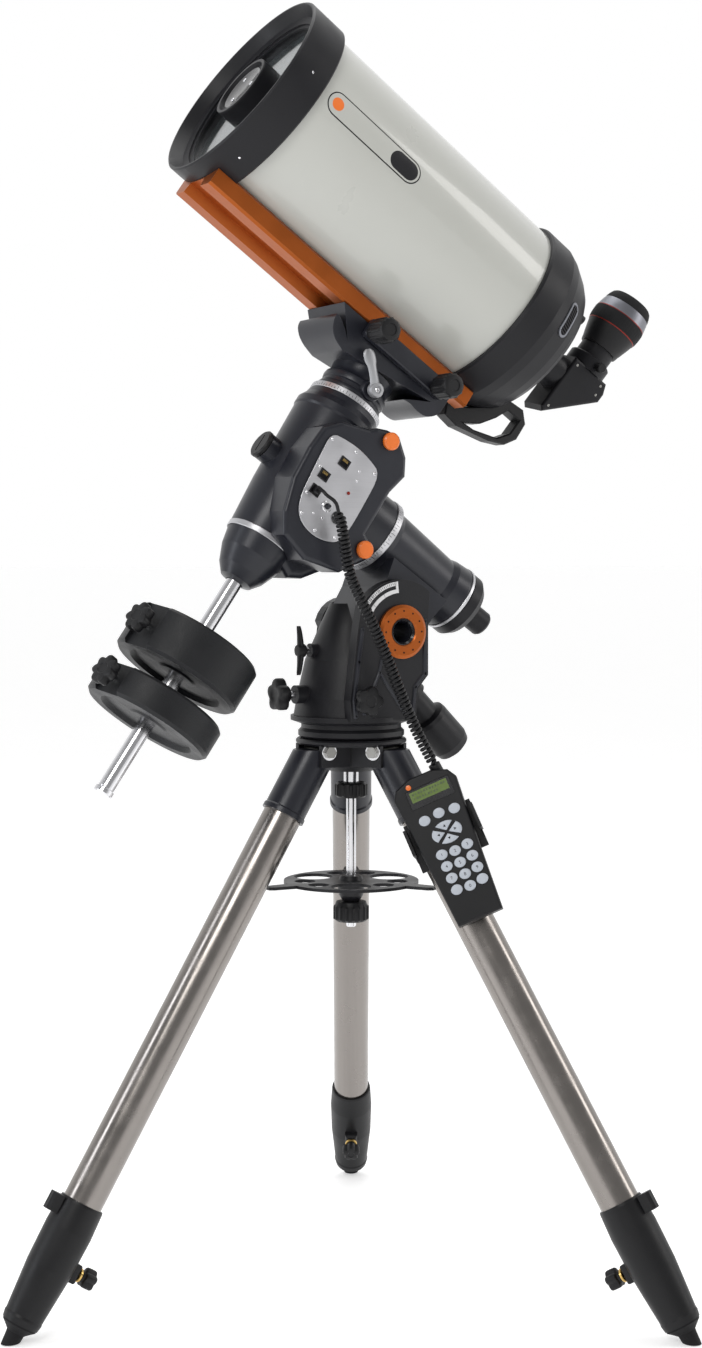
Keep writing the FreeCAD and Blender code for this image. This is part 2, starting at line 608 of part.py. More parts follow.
def make_weights():
    shaft = Piece("counterweight_shaft")
    low, high = S["shaft_bottom"], S["shaft_top"]
    shaft.turn([(0, low), (12, low), (13, low + 1.5), (13, low + 7), (10.5, low + 8), (S["shaft_radius"], low + 9),
                (S["shaft_radius"], high), (0, high)])
    keep(shaft, HEAD)
    for name, bottom, tall in (("lower", S["low_weight_bottom"], S["low_weight_tall"]),
                               ("upper", S["top_weight_bottom"], S["top_weight_tall"])):
        weight = Piece("counterweight_%s" % name)
        radius, bore = S["weight_radius"], S["shaft_radius"] + S["fit_gap"]
        top = bottom + tall
        weight.turn([(bore, bottom + 4), (24, bottom + 4), (28, bottom + 6), (62, bottom + 6), (66, bottom),
                     (radius - 4, bottom), (radius, bottom + 4), (radius, top - 4), (radius - 4, top),
                     (66, top), (62, top - 6), (28, top - 6), (24, top - 4), (bore, top - 4)])
        centre = bottom + tall * 0.5
        weight.pocket([[(-95, -22), (-78, -22), (-78, 22), (-95, 22)]], tall + 2, lift=bottom - 1, back=True)
        weight.pocket([circle(0, centre, 4.56)], 90, plane="YZ", lift=-5, back=False)
        keep(weight, HEAD * tilt(16, (0, 0, 1)))
        at = HEAD * tilt(16, (0, 0, 1)) * Placement(Vector(-91, 0, num(centre)), Rotation(Vector(0, 1, 0), -90))
        star_knob("weight_knob_%s" % name, 19, 14, 91 - SIZES["shaft_radius"] - 2.6, at, 7, 4.5)


def make_saddle():
    saddle = Piece("saddle_block")
    saddle.pad([[(-34, 120), (34, 120), (36, 143), (74, 146), (94, 160), (102, 174), (102, 202), (-98, 202),
                 (-98, 172), (-84, 152), (-58, 134), (-44, 128), (-38, 136)]], 100, plane="XZ", both=True)
    taper = Piece("saddle_taper")
    taper.pad([[(-50, 203), (-50, 168), (-38, 144), (-36, 118), (36, 118), (38, 144), (50, 168), (50, 203)]],
              260, plane="YZ", both=True)
    saddle = combine("saddle_tapered", "Common", saddle, taper)
    neck = Piece("saddle_neck")
    neck.turn([(0, 112.9), (40, 112.9), (40, 126), (45, 129), (45, 139), (41, 143), (41, 150), (0, 150)])
    axle = cylinder("dec_axle", 29.94, 212, Placement(Vector(0, 0, -99), Rotation()))
    near_jaw = cuboid("near_jaw", (17, -54, 192), (144, 16, 26))
    far_jaw = cuboid("far_jaw", (17, 54, 192), (144, 16, 26))
    pad = cuboid("lever_pad", (1, -42, 131), (22, 16, 22))
    solid = union("saddle_solid", [saddle, neck, axle, near_jaw, far_jaw, pad])
    bores = [cuboid("bar_slot", (-11, 0, 214.8), (400, 100.6, 30))]
    for x in (-48, 69):
        bores.append(cylinder("clamp_bore", 5.06, 18, aim((x, -48, 186), (0, -1, 0), (0, 0, 1))))
    keep(combine("saddle", "Cut", solid, union("saddle_bores", bores)), HEAD)
    for name, x in (("front", -48), ("rear", 69)):
        knob = Piece("saddle_knob_%s" % name)
        knob.turn([(0, -12), (5, -12), (5, 0), (9, 2), (10, 12), (14, 14), (15.5, 18), (15.5, 46), (13, 50), (0, 50)])
        rib = knob.pad([circle(14.5, 0, 2.6)], 30, lift=17)
        knob.around(rib, 10)
        keep(knob, HEAD * aim((x, -62.4, 186), (0, -1, 0), (0, 0, 1)))
    lever = Piece("clutch_lever")
    lever.turn([(0, 0), (4.5, 0), (4.5, 2), (10, 3), (10, 12), (8, 14), (0, 14)])
    lever.pad([[(-7.5, 0), (7.5, 0), (6.5, 30), (7.5, 54), (-7.5, 54), (-6.5, 30)]], 8, lift=4.5)
    keep(lever, HEAD * aim((1, -50.3, 131), (0, -1, 0), (0, 0, 1)) * tilt(48, (0, 0, 1)))


def make_bar():
    bar = Piece("bar_solid")
    half = S["bar_half"]
    bar.pad([[(-half, 203), (-half + 4, 200), (-24, 200), (-20, 213), (20, 213), (24, 200), (half - 4, 200),
              (half, 203), (half, 223), (half - 5, 228), (27, 228), (23, 220), (-23, 220), (-27, 228),
              (-half + 5, 228), (-half, 223)]], 463, plane="YZ", lift=-335)
    cell = cylinder("cell_seat", 138.3, 56.6, tilt(90, at=(-360, 0, SIZES["tube_offset"])))
    tube = cylinder("tube_seat", 129.1, 520, tilt(90, at=(-360, 0, SIZES["tube_offset"])))
    rear = cylinder("rear_seat", 135.8, 80, tilt(90, at=(90.7, 0, SIZES["tube_offset"])))
    keep(combine("dovetail_bar", "Cut", bar, union("bar_seats", [cell, tube, rear])), HEAD)


def make_tube():
    cell = Piece("front_cell")
    outer = S["cell_radius"]
    cell.turn([(134, 0), (outer - 2, 0), (outer, 2), (outer, S["cell_length"] - 2), (outer - 2, S["cell_length"]),
               (S["tube_radius"] + 0.05, S["cell_length"]), (S["tube_radius"] + 0.05, 38), (126.5, 38), (126.5, 30),
               (124.05, 30), (124.05, 24), (S["aperture_radius"], 24), (S["aperture_radius"], 18), (126, 16)])
    keep(cell, TUBE)
    glass = Piece("corrector_plate")
    glass.turn([(34, 24.1), (124, 24.1), (124, 29.9), (34, 29.9)])
    keep(glass, TUBE)
    holder = Piece("secondary_holder")
    rim = S["holder_radius"]
    holder.turn([(0, 8), (38, 8), (40, 1), (rim - 0.5, 1), (rim, 3), (rim, 24), (33.95, 24), (33.95, 30),
                 (40, 30), (40, 36), (0, 36)])
    keep(holder, TUBE)
    tube = Piece("optical_tube")
    tube.turn(ring_profile(S["tube_radius"] - S["tube_wall"], S["tube_radius"], S["tube_start"], S["tube_end"]))
    keep(tube, TUBE)
    rear = Piece("rear_cell_body")
    wide, start, end = S["rear_radius"], S["rear_start"], S["rear_end"]
    rear.turn([(S["tube_radius"] + 0.05, start), (wide - 2, start), (wide, start + 3), (wide, 490), (131, 505),
               (119, 529), (110, 542), (102, end - 1), (62, end - 1), (58, end + 3), (36, end + 3), (36, end + 13),
               (22, end + 13), (22, 330), (24.5, 330), (24.5, 533), (102, 533), (114, 520), (126.5, 493),
               (126.5, 472), (S["tube_radius"] + 0.05, 472)])
    rear.pocket([circle(0, 83, 4.06)], 40, lift=526, back=True)
    lock = cylinder("mirror_lock", 7, 16, Placement(Vector(-52, -66, num(end) - 2), Rotation()))
    keep(combine("rear_cell", "Fuse", rear, lock), TUBE)
    mirror = Piece("primary_mirror")
    mirror.turn([(24.56, 480), (60, 478.5), (S["mirror_radius"], 475), (S["mirror_radius"], 495), (60, 500), (24.56, 500)])
    keep(mirror, TUBE)
    knob = Piece("focus_knob")
    knob.turn([(0, -14), (4, -14), (4, 1.4), (13, 1.4), (14.5, 4), (14.5, 26), (12.5, 28.5), (0, 28.5)])
    keep(knob, TUBE * Placement(Vector(0, 83, num(end) - 1), Rotation()))


def make_handle():
    """The carrying loop below the rear cell."""
    loop = Piece("handle_loop")
    loop.pad([[(118, 206), (126, 190), (150, 188), (205, 203), (228, 214), (240, 232), (240, 258), (226, 272),
               (190, 268), (170, 236), (150, 220)]], 24, plane="XZ", both=True)
    loop.pocket([[(158, 199), (176, 201), (212, 214), (226, 232), (228, 256), (206, 256), (196, 236), (180, 214)]],
                60, plane="XZ", both=True)
    loop.round(2, lambda e: abs(e.BoundBox.YLength) < 1e-6, "Chamfer")
    seat = Piece("handle_seat")
    wide = num(S["rear_radius"]) + 0.3
    seat.turn([(0, 440), (wide, 440), (wide, 490.2), (131.4, 505.2), (119.4, 529.2), (110.4, 542.2), (102.3, 549.4),
               (0, 549.4)])
    seat.body.Placement = tilt(90, at=(-SIZES["rim_ahead"], 0, SIZES["tube_offset"]))
    keep(combine("carry_handle", "Cut", loop, seat), HEAD)


DIAGONAL = HEAD * tilt(12, (1, 0, 0), (0, 0, SIZES["tube_offset"]))
EYEPIECE_X = 277


def make_eyepiece():
    body = Piece("diagonal_body")
    body.pad([[(244, 30), (244, -54), (250, -60), (313, 3), (313, 16), (307, 30)]], 56, plane="XZ", both=True)
    body.round(4, lambda e: abs(e.BoundBox.YLength) < 1e-6)
    nose = Piece("diagonal_nose")
    nose.turn([(0, 188), (21.94, 188), (21.94, 204.4), (30, 204.4), (30, 222), (26, 224), (26, 246), (0, 246)])
    nose.body.Placement = tilt(90)
    collar = Piece("diagonal_collar")
    collar.turn([(0, 28), (31, 28), (31, 46), (29, 48), (0, 48)])
    collar.body.Placement = Placement(Vector(EYEPIECE_X, 0, 0), Rotation())
    screw = cylinder("collar_screw", 6, 16, aim((EYEPIECE_X, -30, 38), (0, -1, 0), (0, 0, 1)))
    solid = union("diagonal_solid", [body, nose, collar, screw])
    bore = cylinder("eyepiece_bore", 25.4, 60, Placement(Vector(EYEPIECE_X, 0, 12), Rotation()))
    keep(combine("star_diagonal", "Cut", solid, bore), DIAGONAL)
    eyepiece = Piece("eyepiece")
    eyepiece.turn([(0, 14), (25.34, 14), (25.34, 66), (28.5, 68), (30, 74), (38, 102), (39.3, 114), (39, 120),
                   (36, 134), (31, 147), (27, 149), (23, 143), (0, 141)])
    keep(eyepiece, DIAGONAL * Placement(Vector(EYEPIECE_X, 0, 0), Rotation()))


LEG_DOWN = Vector(math.sin(math.radians(31.25)) * 0.5, -math.sin(math.radians(31.25)) * math.sqrt(0.75),
                  -math.cos(math.radians(31.25)))
FACE = Vector(-0.5, -0.866, 0) - LEG_DOWN * Vector(-0.5, -0.866, 0).dot(LEG_DOWN)
HANDSET = aim((54.3, -161.5, 576.8), FACE, LEG_DOWN * -1) * tilt(4, (0, 0, -1))


CORD_EXIT = Vector(24, 95, -3)


def cord_way():
    """Direction in which the cord leaves the handset, in the handset's frame."""
    return (HANDSET.inverse().multVec(Vector(*COIL[-1])) - CORD_EXIT).normalize()


def make_handset():
    top, bottom, thick = S["handset_top"], S["handset_bottom"], S["handset_thick"]
    shell = Piece("handset_body")
    outline = [(-bottom, -92), (bottom, -92), (top - 3, 50), (top, 84), (36, 96), (15, 103.5), (-15, 103.5), (-36, 96),
               (-top, 84), (-top + 3, 50)]
    shell.pad([outline], thick, both=True)
    shell.round(3, lambda e: abs(e.BoundBox.ZLength) < 1e-6 and abs(e.CenterOfMass.z) > 13)
    shell.pocket([box_loop(-26, 34, 64, 89)], 1.4, lift=thick * 0.5)
    boss = cylinder("cord_boss", 7.75, 16, aim(tuple(CORD_EXIT), tuple(cord_way())))
    keep(combine("handset_shell", "Fuse", shell, boss), HANDSET)
    keys = []
    rows = [(4 + 20.5 * side, 48.5 - 2.2 * abs(side), 6) for side in (-1, 0, 1)]
    for row in range(4):
        rows += [(4 + 17.5 * side, -3.2 + 1.8 * abs(side) - 15.8 * row, 5.9) for side in (-1, 0, 1)]
    for x, y, radius in rows:
        key = cylinder("key", radius, 2.2, Placement(Vector(x, y, SIZES["handset_thick"] * 0.5 + 0.05), Rotation()))
        keys.append(key)
    for x, y, dx, dy in ((4, 29, 17, 7), (4, 16, 17, 7), (-10, 22.5, 7, 10), (18, 22.5, 7, 10)):
        keys.append(cuboid("arrow_key", (x, y, SIZES["handset_thick"] * 0.5 + 1.15), (dx, dy, 2.2)))
    keep(union("handset_keys", keys), HANDSET)
    plate = cuboid("holder_plate", (0, 22, -16), (92, 64, 4))
    clips = []
    for side in (-1, 1):
        clip = cuboid("holder_clip", (side * 45.6, 28, -4), (4, 34, 24))
        clips.append(clip)
        clips.append(cuboid("holder_lip", (side * 45.6, 28, 10), (4, 34, 12)))
    strap = cylinder("holder_strap", 30.5, 34)
    strap.Placement = HANDSET.inverse() * leg_place(LEGS["front"]) * Placement(Vector(0, 0, 116), Rotation())
    bore = cylinder("holder_bore", 25.46, 60)
    bore.Placement = HANDSET.inverse() * leg_place(LEGS["front"]) * Placement(Vector(0, 0, 103), Rotation())
    solid = union("holder_solid", [plate, strap] + clips)
    keep(combine("handset_holder", "Cut", solid, bore), HANDSET)


def rounded_path(points, section):
    """Straight runs joined by tangent arcs, each arc as large as its runs allow."""
    edges, start = [], points[0]
    for before, corner, after in zip(points, points[1:], points[2:]):
        inward, outward = (before - corner), (after - corner)
        run = min(inward.Length, outward.Length)
        inward.normalize()
        outward.normalize()
        turn = math.pi - inward.getAngle(outward)
        reach = 0.45 * run
        radius = reach / math.tan(turn / 2)
        print("bend radius %.1f mm at a section radius of %.2f mm" % (radius, section))
        first, last = corner + inward * reach, corner + outward * reach
        towards = (inward + outward).normalize()
        middle = corner + towards * (radius / math.cos(turn / 2) - radius)
        edges.append(Part.LineSegment(start, first).toShape())
        edges.append(Part.Arc(first, middle, last).toShape())
        start = last
    edges.append(Part.LineSegment(start, points[-1]).toShape())
    return Part.Wire(edges)


def make_hose(name, points, section):
    """A round cord along a path; its size comes from the sheet."""
    radius = num(section)
    path = rounded_path(points, radius)
    profile = Part.Wire(Part.Circle(points[0], points[1] - points[0], radius).toShape())
    solid = path.makePipeShell([profile], True, False)
    expected = math.pi * radius * radius * path.Length
    print("%s: length %.1f mm, volume %.0f, section times length %.0f" % (name, path.Length, solid.Volume, expected))
    hose = doc.addObject("Part::Feature", name)
    hose.Label = name
    hose.Shape = solid
    return keep(hose, Placement())


PLUG_AT = (-8, -37)
LEAD = [(-99, -109, 1026), (-86.5, -112.5, 1018), (-83, -112, 1006)]
COIL = [(-76, -111, 982), (-71.5, -110, 955), (-66, -110, 926), (-51, -111, 896), (-33, -112, 864), (-15, -114, 825),
        (0.5, -116, 787), (15, -119, 751), (28, -124, 720)]


def make_cord():
    x, z = PLUG_AT
    plug = Piece("cord_plug")
    plug.pad([box_loop(-4.6, 4.6, -4, 4)], 9.5)
    plug.round(1.2, lambda e: abs(e.BoundBox.XLength) < 1e-6 and abs(e.BoundBox.YLength) < 1e-6)
    keep(plug, HEAD * aim((x, -84.7, z), (0, -1, 0), (1, 0, 0)))
    start = HEAD.multVec(Vector(x, -94.2, z))
    bend = HEAD.multVec(Vector(x, -103, z))
    lead = [start, bend] + [Vector(*p) for p in LEAD]
    make_hose("cord_lead", lead, S["lead_radius"])
    socket = HANDSET.multVec(CORD_EXIT + cord_way() * 16.2)
    coil = [Vector(*LEAD[-1])] + [Vector(*p) for p in COIL] + [socket]
    make_hose("cord_coil", coil, S["coil_radius"])


def check_and_export():
    doc.recompute()
    for thing in doc.Objects:
        if "Invalid" in thing.State or "Error" in thing.State:
            raise RuntimeError("failed object: " + thing.Name)
    names = [part.Label for part in PARTS]
    if len(set(names)) != len(names):
        raise RuntimeError("two sub-parts share a name")
    for part in PARTS:
        if part.Shape.isNull() or not part.Shape.isValid():
            raise RuntimeError("bad shape: " + part.Label)
    os.makedirs("parts", exist_ok=True)
    for part in PARTS:
        part.Shape.exportStep("parts/%s.step" % part.Label)
    print("%d sub-parts written" % len(PARTS))


make_tripod()
make_base()
make_base_fittings()
make_polar_housing()
make_dec_housing()
make_electronics()
make_weights()
make_saddle()
make_bar()
make_tube()
make_handle()
make_eyepiece()
make_handset()
make_cord()
check_and_export()
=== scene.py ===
import math

import bmesh
import bpy
from mathutils import Matrix, Vector


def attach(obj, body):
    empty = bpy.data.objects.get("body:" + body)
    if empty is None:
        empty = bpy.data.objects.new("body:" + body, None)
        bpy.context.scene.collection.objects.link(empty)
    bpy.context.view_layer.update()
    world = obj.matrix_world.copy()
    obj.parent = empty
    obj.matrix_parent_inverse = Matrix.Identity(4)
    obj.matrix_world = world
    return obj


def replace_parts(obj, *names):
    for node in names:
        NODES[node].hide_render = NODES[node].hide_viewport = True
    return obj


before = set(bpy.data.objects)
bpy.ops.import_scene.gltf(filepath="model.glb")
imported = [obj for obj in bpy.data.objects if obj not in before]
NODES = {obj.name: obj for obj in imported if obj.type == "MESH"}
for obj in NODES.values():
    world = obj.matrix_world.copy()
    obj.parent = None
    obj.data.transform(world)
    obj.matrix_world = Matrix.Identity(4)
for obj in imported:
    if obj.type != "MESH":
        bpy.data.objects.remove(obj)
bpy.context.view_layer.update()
MM = 0.001

# ---------------------------------------------------------------- frames: metres, made from millimetres


def turned(angle, axis, at=(0, 0, 0)):
    """A frame at a point in millimetres, turned about one axis."""
    return Matrix.Translation(Vector(at) * MM) @ Matrix.Rotation(math.radians(angle), 4, axis)


def aimed(at, direction, across=(0, 1, 0)):
    """A frame at a point in millimetres whose local Z points along a direction."""
    z = Vector(direction).normalized()
    y = Vector(across)
    y = (y - z * y.dot(z)).normalized()
    x = y.cross(z)
    frame_matrix = Matrix((x, y, z)).transposed().to_4x4()
    frame_matrix.translation = Vector(at) * MM
    return frame_matrix


def near_side(at):
    """A frame that looks out of the near side, with X and Y across and up."""
    return aimed(at, (0, -1, 0), (0, 0, 1))


def shifted(x, y, z):
    """A frame moved by millimetres, without a turn."""
    return Matrix.Translation(Vector((x, y, z)) * MM)


HEAD = turned(35, "Y", (-72.9, 0, 1058.5))
POLAR = HEAD @ turned(90, "Y", (0, 0, -5))
TUBE = HEAD @ turned(90, "Y", (-359, 0, 352.5))
DIAGONAL = HEAD @ turned(12, "X", (0, 0, 352.5))
EYEPIECE = DIAGONAL @ Matrix.Translation((277 * MM, 0, 0))
LEGS = {"north": 180, "front": -60, "back": 60}
LEAN = math.radians(31.25)
LEG_PIVOT_RADIUS, LEG_PIVOT_HEIGHT = 53, 696
PIVOT_X, PIVOT_Z = 30, 852


def leg_frame(azimuth):
    """A leg's frame at its pivot, with local Z down the leg."""
    a = math.radians(azimuth)
    down = (math.sin(LEAN) * math.cos(a), math.sin(LEAN) * math.sin(a), -math.cos(LEAN))
    at = (LEG_PIVOT_RADIUS * math.cos(a), LEG_PIVOT_RADIUS * math.sin(a), LEG_PIVOT_HEIGHT)
    return aimed(at, down, (-math.sin(a), math.cos(a), 0))


LEG_DOWN = leg_frame(-60).to_3x3() @ Vector((0, 0, 1))
FACE = Vector((-0.5, -0.866, 0))
FACE = FACE - LEG_DOWN * LEG_DOWN.dot(FACE)
HANDSET = aimed((54.3, -161.5, 576.8), FACE, -LEG_DOWN) @ Matrix.Rotation(math.radians(-4), 4, "Z")

# ---------------------------------------------------------------- camera

camera = bpy.data.objects.new("camera", bpy.data.cameras.new("camera"))
bpy.context.scene.collection.objects.link(camera)
bpy.context.scene.camera = camera
camera.data.sensor_width = 36
camera.data.lens = 56.11
camera.data.shift_y = -0.0835
camera.location = (-1.387, -2.402, 0.943)
camera.rotation_euler = (math.radians(90), 0, math.radians(-30))

# ---------------------------------------------------------------- materials

MATERIALS = {}


def link(tree, start, end):
    tree.links.new(start, end)


def set_inputs(node, **values):
    """Set a node's inputs by name, with underscores for spaces."""
    for key, value in values.items():
        node.inputs[key.replace("_", " ")].default_value = value


def add_node(tree, kind, settings=None, **values):
    """A shader node with its settings, and then its inputs, because settings change which inputs it has."""
    made = tree.nodes.new("ShaderNode" + kind)
    for key, value in (settings or {}).items():
        setattr(made, key, value)
    set_inputs(made, **values)
    return made


def material(name, colour, rough, metal=0.0, vary=0.08, spots=35, rough_vary=0.06, bump=0.15, grain=900,
             depth=0.0002, stretch=None, coat=0.0, coat_rough=0.08, wear=0.0, wear_colour=(0.35, 0.35, 0.37),
             specular=0.5):
    """A painted, moulded or bare surface: large soft variation, fine grain, and light worn edges."""
    made = bpy.data.materials.new(name)
    made.use_nodes = True
    tree = made.node_tree
    surface = tree.nodes["Principled BSDF"]
    set_inputs(surface, Metallic=metal, Specular_IOR_Level=specular, Coat_Weight=coat, Coat_Roughness=coat_rough)
    place = add_node(tree, "TexCoord").outputs["Object"]
    large = add_node(tree, "TexNoise", Scale=spots, Detail=5)
    link(tree, place, large.inputs["Vector"])
    fine = add_node(tree, "TexNoise", Scale=grain if stretch is None else 1, Detail=3)
    if stretch is None:
        link(tree, place, fine.inputs["Vector"])
    else:
        mapping = add_node(tree, "Mapping", {"vector_type": "TEXTURE"}, Rotation=stretch[0], Scale=stretch[1])
        link(tree, place, mapping.inputs["Vector"])
        link(tree, mapping.outputs["Vector"], fine.inputs["Vector"])
    low = tuple(c * (1 - vary) for c in colour)
    high = tuple(min(1, c * (1 + vary)) for c in colour)
    tint = add_node(tree, "Mix", {"data_type": "RGBA"}, A=(*low, 1), B=(*high, 1))
    link(tree, (large if stretch is None else fine).outputs["Fac"], tint.inputs["Factor"])
    base = tint.outputs["Result"]
    if wear > 0:
        bevel = add_node(tree, "Bevel", {"samples": 4}, Radius=0.0012)
        dot = add_node(tree, "VectorMath", {"operation": "DOT_PRODUCT"})
        link(tree, bevel.outputs["Normal"], dot.inputs[0])
        link(tree, add_node(tree, "NewGeometry").outputs["Normal"], dot.inputs[1])
        edge = add_node(tree, "MapRange", From_Min=0.985, From_Max=0.80, To_Max=wear)
        link(tree, dot.outputs["Value"], edge.inputs["Value"])
        patch = add_node(tree, "Math", {"operation": "MULTIPLY"})
        link(tree, edge.outputs["Result"], patch.inputs[0])
        link(tree, large.outputs["Fac"], patch.inputs[1])
        worn = add_node(tree, "Mix", {"data_type": "RGBA"}, B=(*wear_colour, 1))
        link(tree, base, worn.inputs["A"])
        link(tree, patch.outputs["Value"], worn.inputs["Factor"])
        base = worn.outputs["Result"]
    link(tree, base, surface.inputs["Base Color"])
    shine = add_node(tree, "MapRange", From_Min=0.3, From_Max=0.7, To_Min=max(0.02, rough - rough_vary),
                     To_Max=min(1, rough + rough_vary))
    link(tree, large.outputs["Fac"], shine.inputs["Value"])
    link(tree, shine.outputs["Result"], surface.inputs["Roughness"])
    raised = add_node(tree, "Bump", Strength=bump, Distance=depth)
    link(tree, fine.outputs["Fac"], raised.inputs["Height"])
    link(tree, raised.outputs["Normal"], surface.inputs["Normal"])
    MATERIALS[name] = made
    return made


def brushed(name, colour, rough, basis, run=0.12, across=0.0009, **more):
    """Bare metal with fine lines along the basis's local Z."""
    return material(name, colour, rough, metal=1.0, vary=0.10, bump=0.10, depth=0.00008,
                    stretch=(basis.to_euler(), (across, across, run)), **more)


material("tube_paint", (0.43, 0.435, 0.405), 0.30, vary=0.02, spots=9, rough_vary=0.03, bump=0.04, grain=420,
         depth=0.0001, coat=0.6, coat_rough=0.06)
material("cell_black", (0.011, 0.011, 0.013), 0.40, vary=0.15, spots=22, bump=0.30, grain=1500, depth=0.00012,
         wear=0.12, specular=0.22)
material("mount_gunmetal", (0.013, 0.014, 0.020), 0.34, metal=0.15, vary=0.12, spots=18, bump=0.25, grain=1300,
         depth=0.00012, coat=0.1, coat_rough=0.25, wear=0.15, specular=0.4)
material("casting_black", (0.008, 0.008, 0.010), 0.42, vary=0.15, spots=26, bump=0.55, grain=800, depth=0.0003,
         wear=0.12, specular=0.3)
material("weight_paint", (0.009, 0.0095, 0.011), 0.46, vary=0.2, spots=40, bump=0.8, grain=620, depth=0.0004,
         wear=0.15, specular=0.28)
material("black_plastic", (0.007, 0.007, 0.008), 0.45, vary=0.12, spots=30, bump=0.35, grain=1700,
         depth=0.00015, specular=0.28)
material("rubber_grip", (0.007, 0.007, 0.008), 0.72, vary=0.2, spots=60, bump=0.5, grain=1400,
         depth=0.0002, specular=0.25)
material("orange_anodised", (0.36, 0.085, 0.012), 0.34, metal=0.75, vary=0.06, spots=25, bump=0.15, grain=1500,
         depth=0.00008, wear=0.2, wear_colour=(0.95, 0.55, 0.25))
material("orange_plastic", (0.72, 0.15, 0.012), 0.38, vary=0.05, bump=0.2, grain=1500, depth=0.0001, coat=0.2)
material("silver_metal", (0.56, 0.56, 0.58), 0.42, metal=1.0, vary=0.05, bump=0.1, grain=1600, depth=0.00006)
brushed("plate_metal", (0.50, 0.50, 0.52), 0.38, (HEAD @ turned(55, "Y")).to_3x3(), run=0.03, across=0.0005)
for leg, azimuth in LEGS.items():
    brushed("leg_steel_" + leg, (0.27, 0.25, 0.235), 0.24, leg_frame(azimuth).to_3x3())
brushed("rod_steel", (0.72, 0.72, 0.74), 0.14, Matrix.Identity(3), run=0.05)
brushed("shaft_steel", (0.70, 0.70, 0.72), 0.16, HEAD.to_3x3(), run=0.05)
material("bright_steel", (0.75, 0.75, 0.77), 0.16, metal=1.0, vary=0.04, bump=0.06, grain=900, depth=0.00005)
material("cast_silver", (0.34, 0.345, 0.36), 0.44, metal=0.55, vary=0.08, bump=0.25, grain=1200, depth=0.00008,
         wear=0.2, wear_colour=(0.6, 0.6, 0.62))
material("bolt_steel", (0.30, 0.295, 0.28), 0.32, metal=1.0, vary=0.15, bump=0.15, grain=900, depth=0.00006)
material("brass", (0.62, 0.42, 0.14), 0.28, metal=1.0, vary=0.08, bump=0.1, grain=1100, depth=0.00006)
material("key_plastic", (0.42, 0.45, 0.50), 0.42, vary=0.05, bump=0.2, grain=1700, depth=0.0001)
material("screen_green", (0.085, 0.14, 0.014), 0.25, vary=0.12, spots=60, bump=0.05, coat=0.8, coat_rough=0.05)
material("cord_rubber", (0.006, 0.006, 0.007), 0.38, vary=0.12, spots=80, bump=0.2, grain=1500,
         depth=0.0001, specular=0.28)
material("red_ring", (0.22, 0.018, 0.010), 0.40, metal=0.6, vary=0.08, bump=0.1)
material("grey_band", (0.20, 0.205, 0.23), 0.36, metal=0.8, vary=0.08, bump=0.2, grain=1300)
# Painted shade: a near-black matte finish laid where holes and recesses fall into shade, over the own dark colour of
# some of them.
material("recess_black_and_shade", (0.004, 0.004, 0.005), 0.85, vary=0.2, bump=0.2, specular=0.15)
material("badge_dark", (0.010, 0.010, 0.012), 0.25, vary=0.05, bump=0.03, coat=0.5, specular=0.3)
material("mirror_coating", (0.88, 0.89, 0.90), 0.03, metal=1.0, vary=0.01, rough_vary=0.01, bump=0.01)
material("scale_white", (0.62, 0.62, 0.63), 0.45, vary=0.06, bump=0.2, grain=900)


def glass_material():
    made = material("corrector_glass", (0.55, 0.62, 0.66), 0.04, vary=0.02, rough_vary=0.01, bump=0.0)
    set_inputs(made.node_tree.nodes["Principled BSDF"], Transmission_Weight=1.0, IOR=1.45, Coat_Weight=0.4)


glass_material()

NODES_OF_MATERIAL = {
    "casting_black": "tripod_hub spreader_tray base_casting altitude_handle saddle",
    "bolt_steel": "leg_pivot_bolts",
    "rod_steel": "centre_rod",
    "black_plastic": "rod_knob tray_knob azimuth_knob_north azimuth_knob_near altitude_lock_lever "
        "polar_front_cap weight_knob_lower weight_knob_upper saddle_knob_front saddle_knob_rear carry_handle "
        "handset_shell handset_holder cord_plug",
    "mount_gunmetal": "polar_housing dec_housing electronics_cover",
    "orange_anodised": "altitude_rings dovetail_bar",
    "cell_black": "polar_scope front_cell secondary_holder rear_cell star_diagonal",
    "plate_metal": "panel_plate",
    "orange_plastic": "orange_caps",
    "shaft_steel": "counterweight_shaft",
    "weight_paint": "counterweight_lower counterweight_upper",
    "silver_metal": "clutch_lever",
    "corrector_glass": "corrector_plate",
    "tube_paint": "optical_tube",
    "mirror_coating": "primary_mirror",
    "rubber_grip": "focus_knob eyepiece",
    "key_plastic": "handset_keys",
    "cord_rubber": "cord_lead cord_coil",
}
NODE_MATERIALS = {node: look for look, nodes in NODES_OF_MATERIAL.items() for node in nodes.split()}
for leg in LEGS:
    NODE_MATERIALS["leg_sleeve_" + leg] = "mount_gunmetal"
    NODE_MATERIALS["leg_tube_" + leg] = "leg_steel_" + leg
    NODE_MATERIALS["leg_boot_" + leg] = "black_plastic"
    NODE_MATERIALS["leg_extension_" + leg] = "rubber_grip"
    NODE_MATERIALS["leg_lock_knob_" + leg] = "black_plastic"
for name, obj in NODES.items():
    obj.data.materials.clear()
    obj.data.materials.append(MATERIALS[NODE_MATERIALS[name]])

# ---------------------------------------------------------------- mesh makers


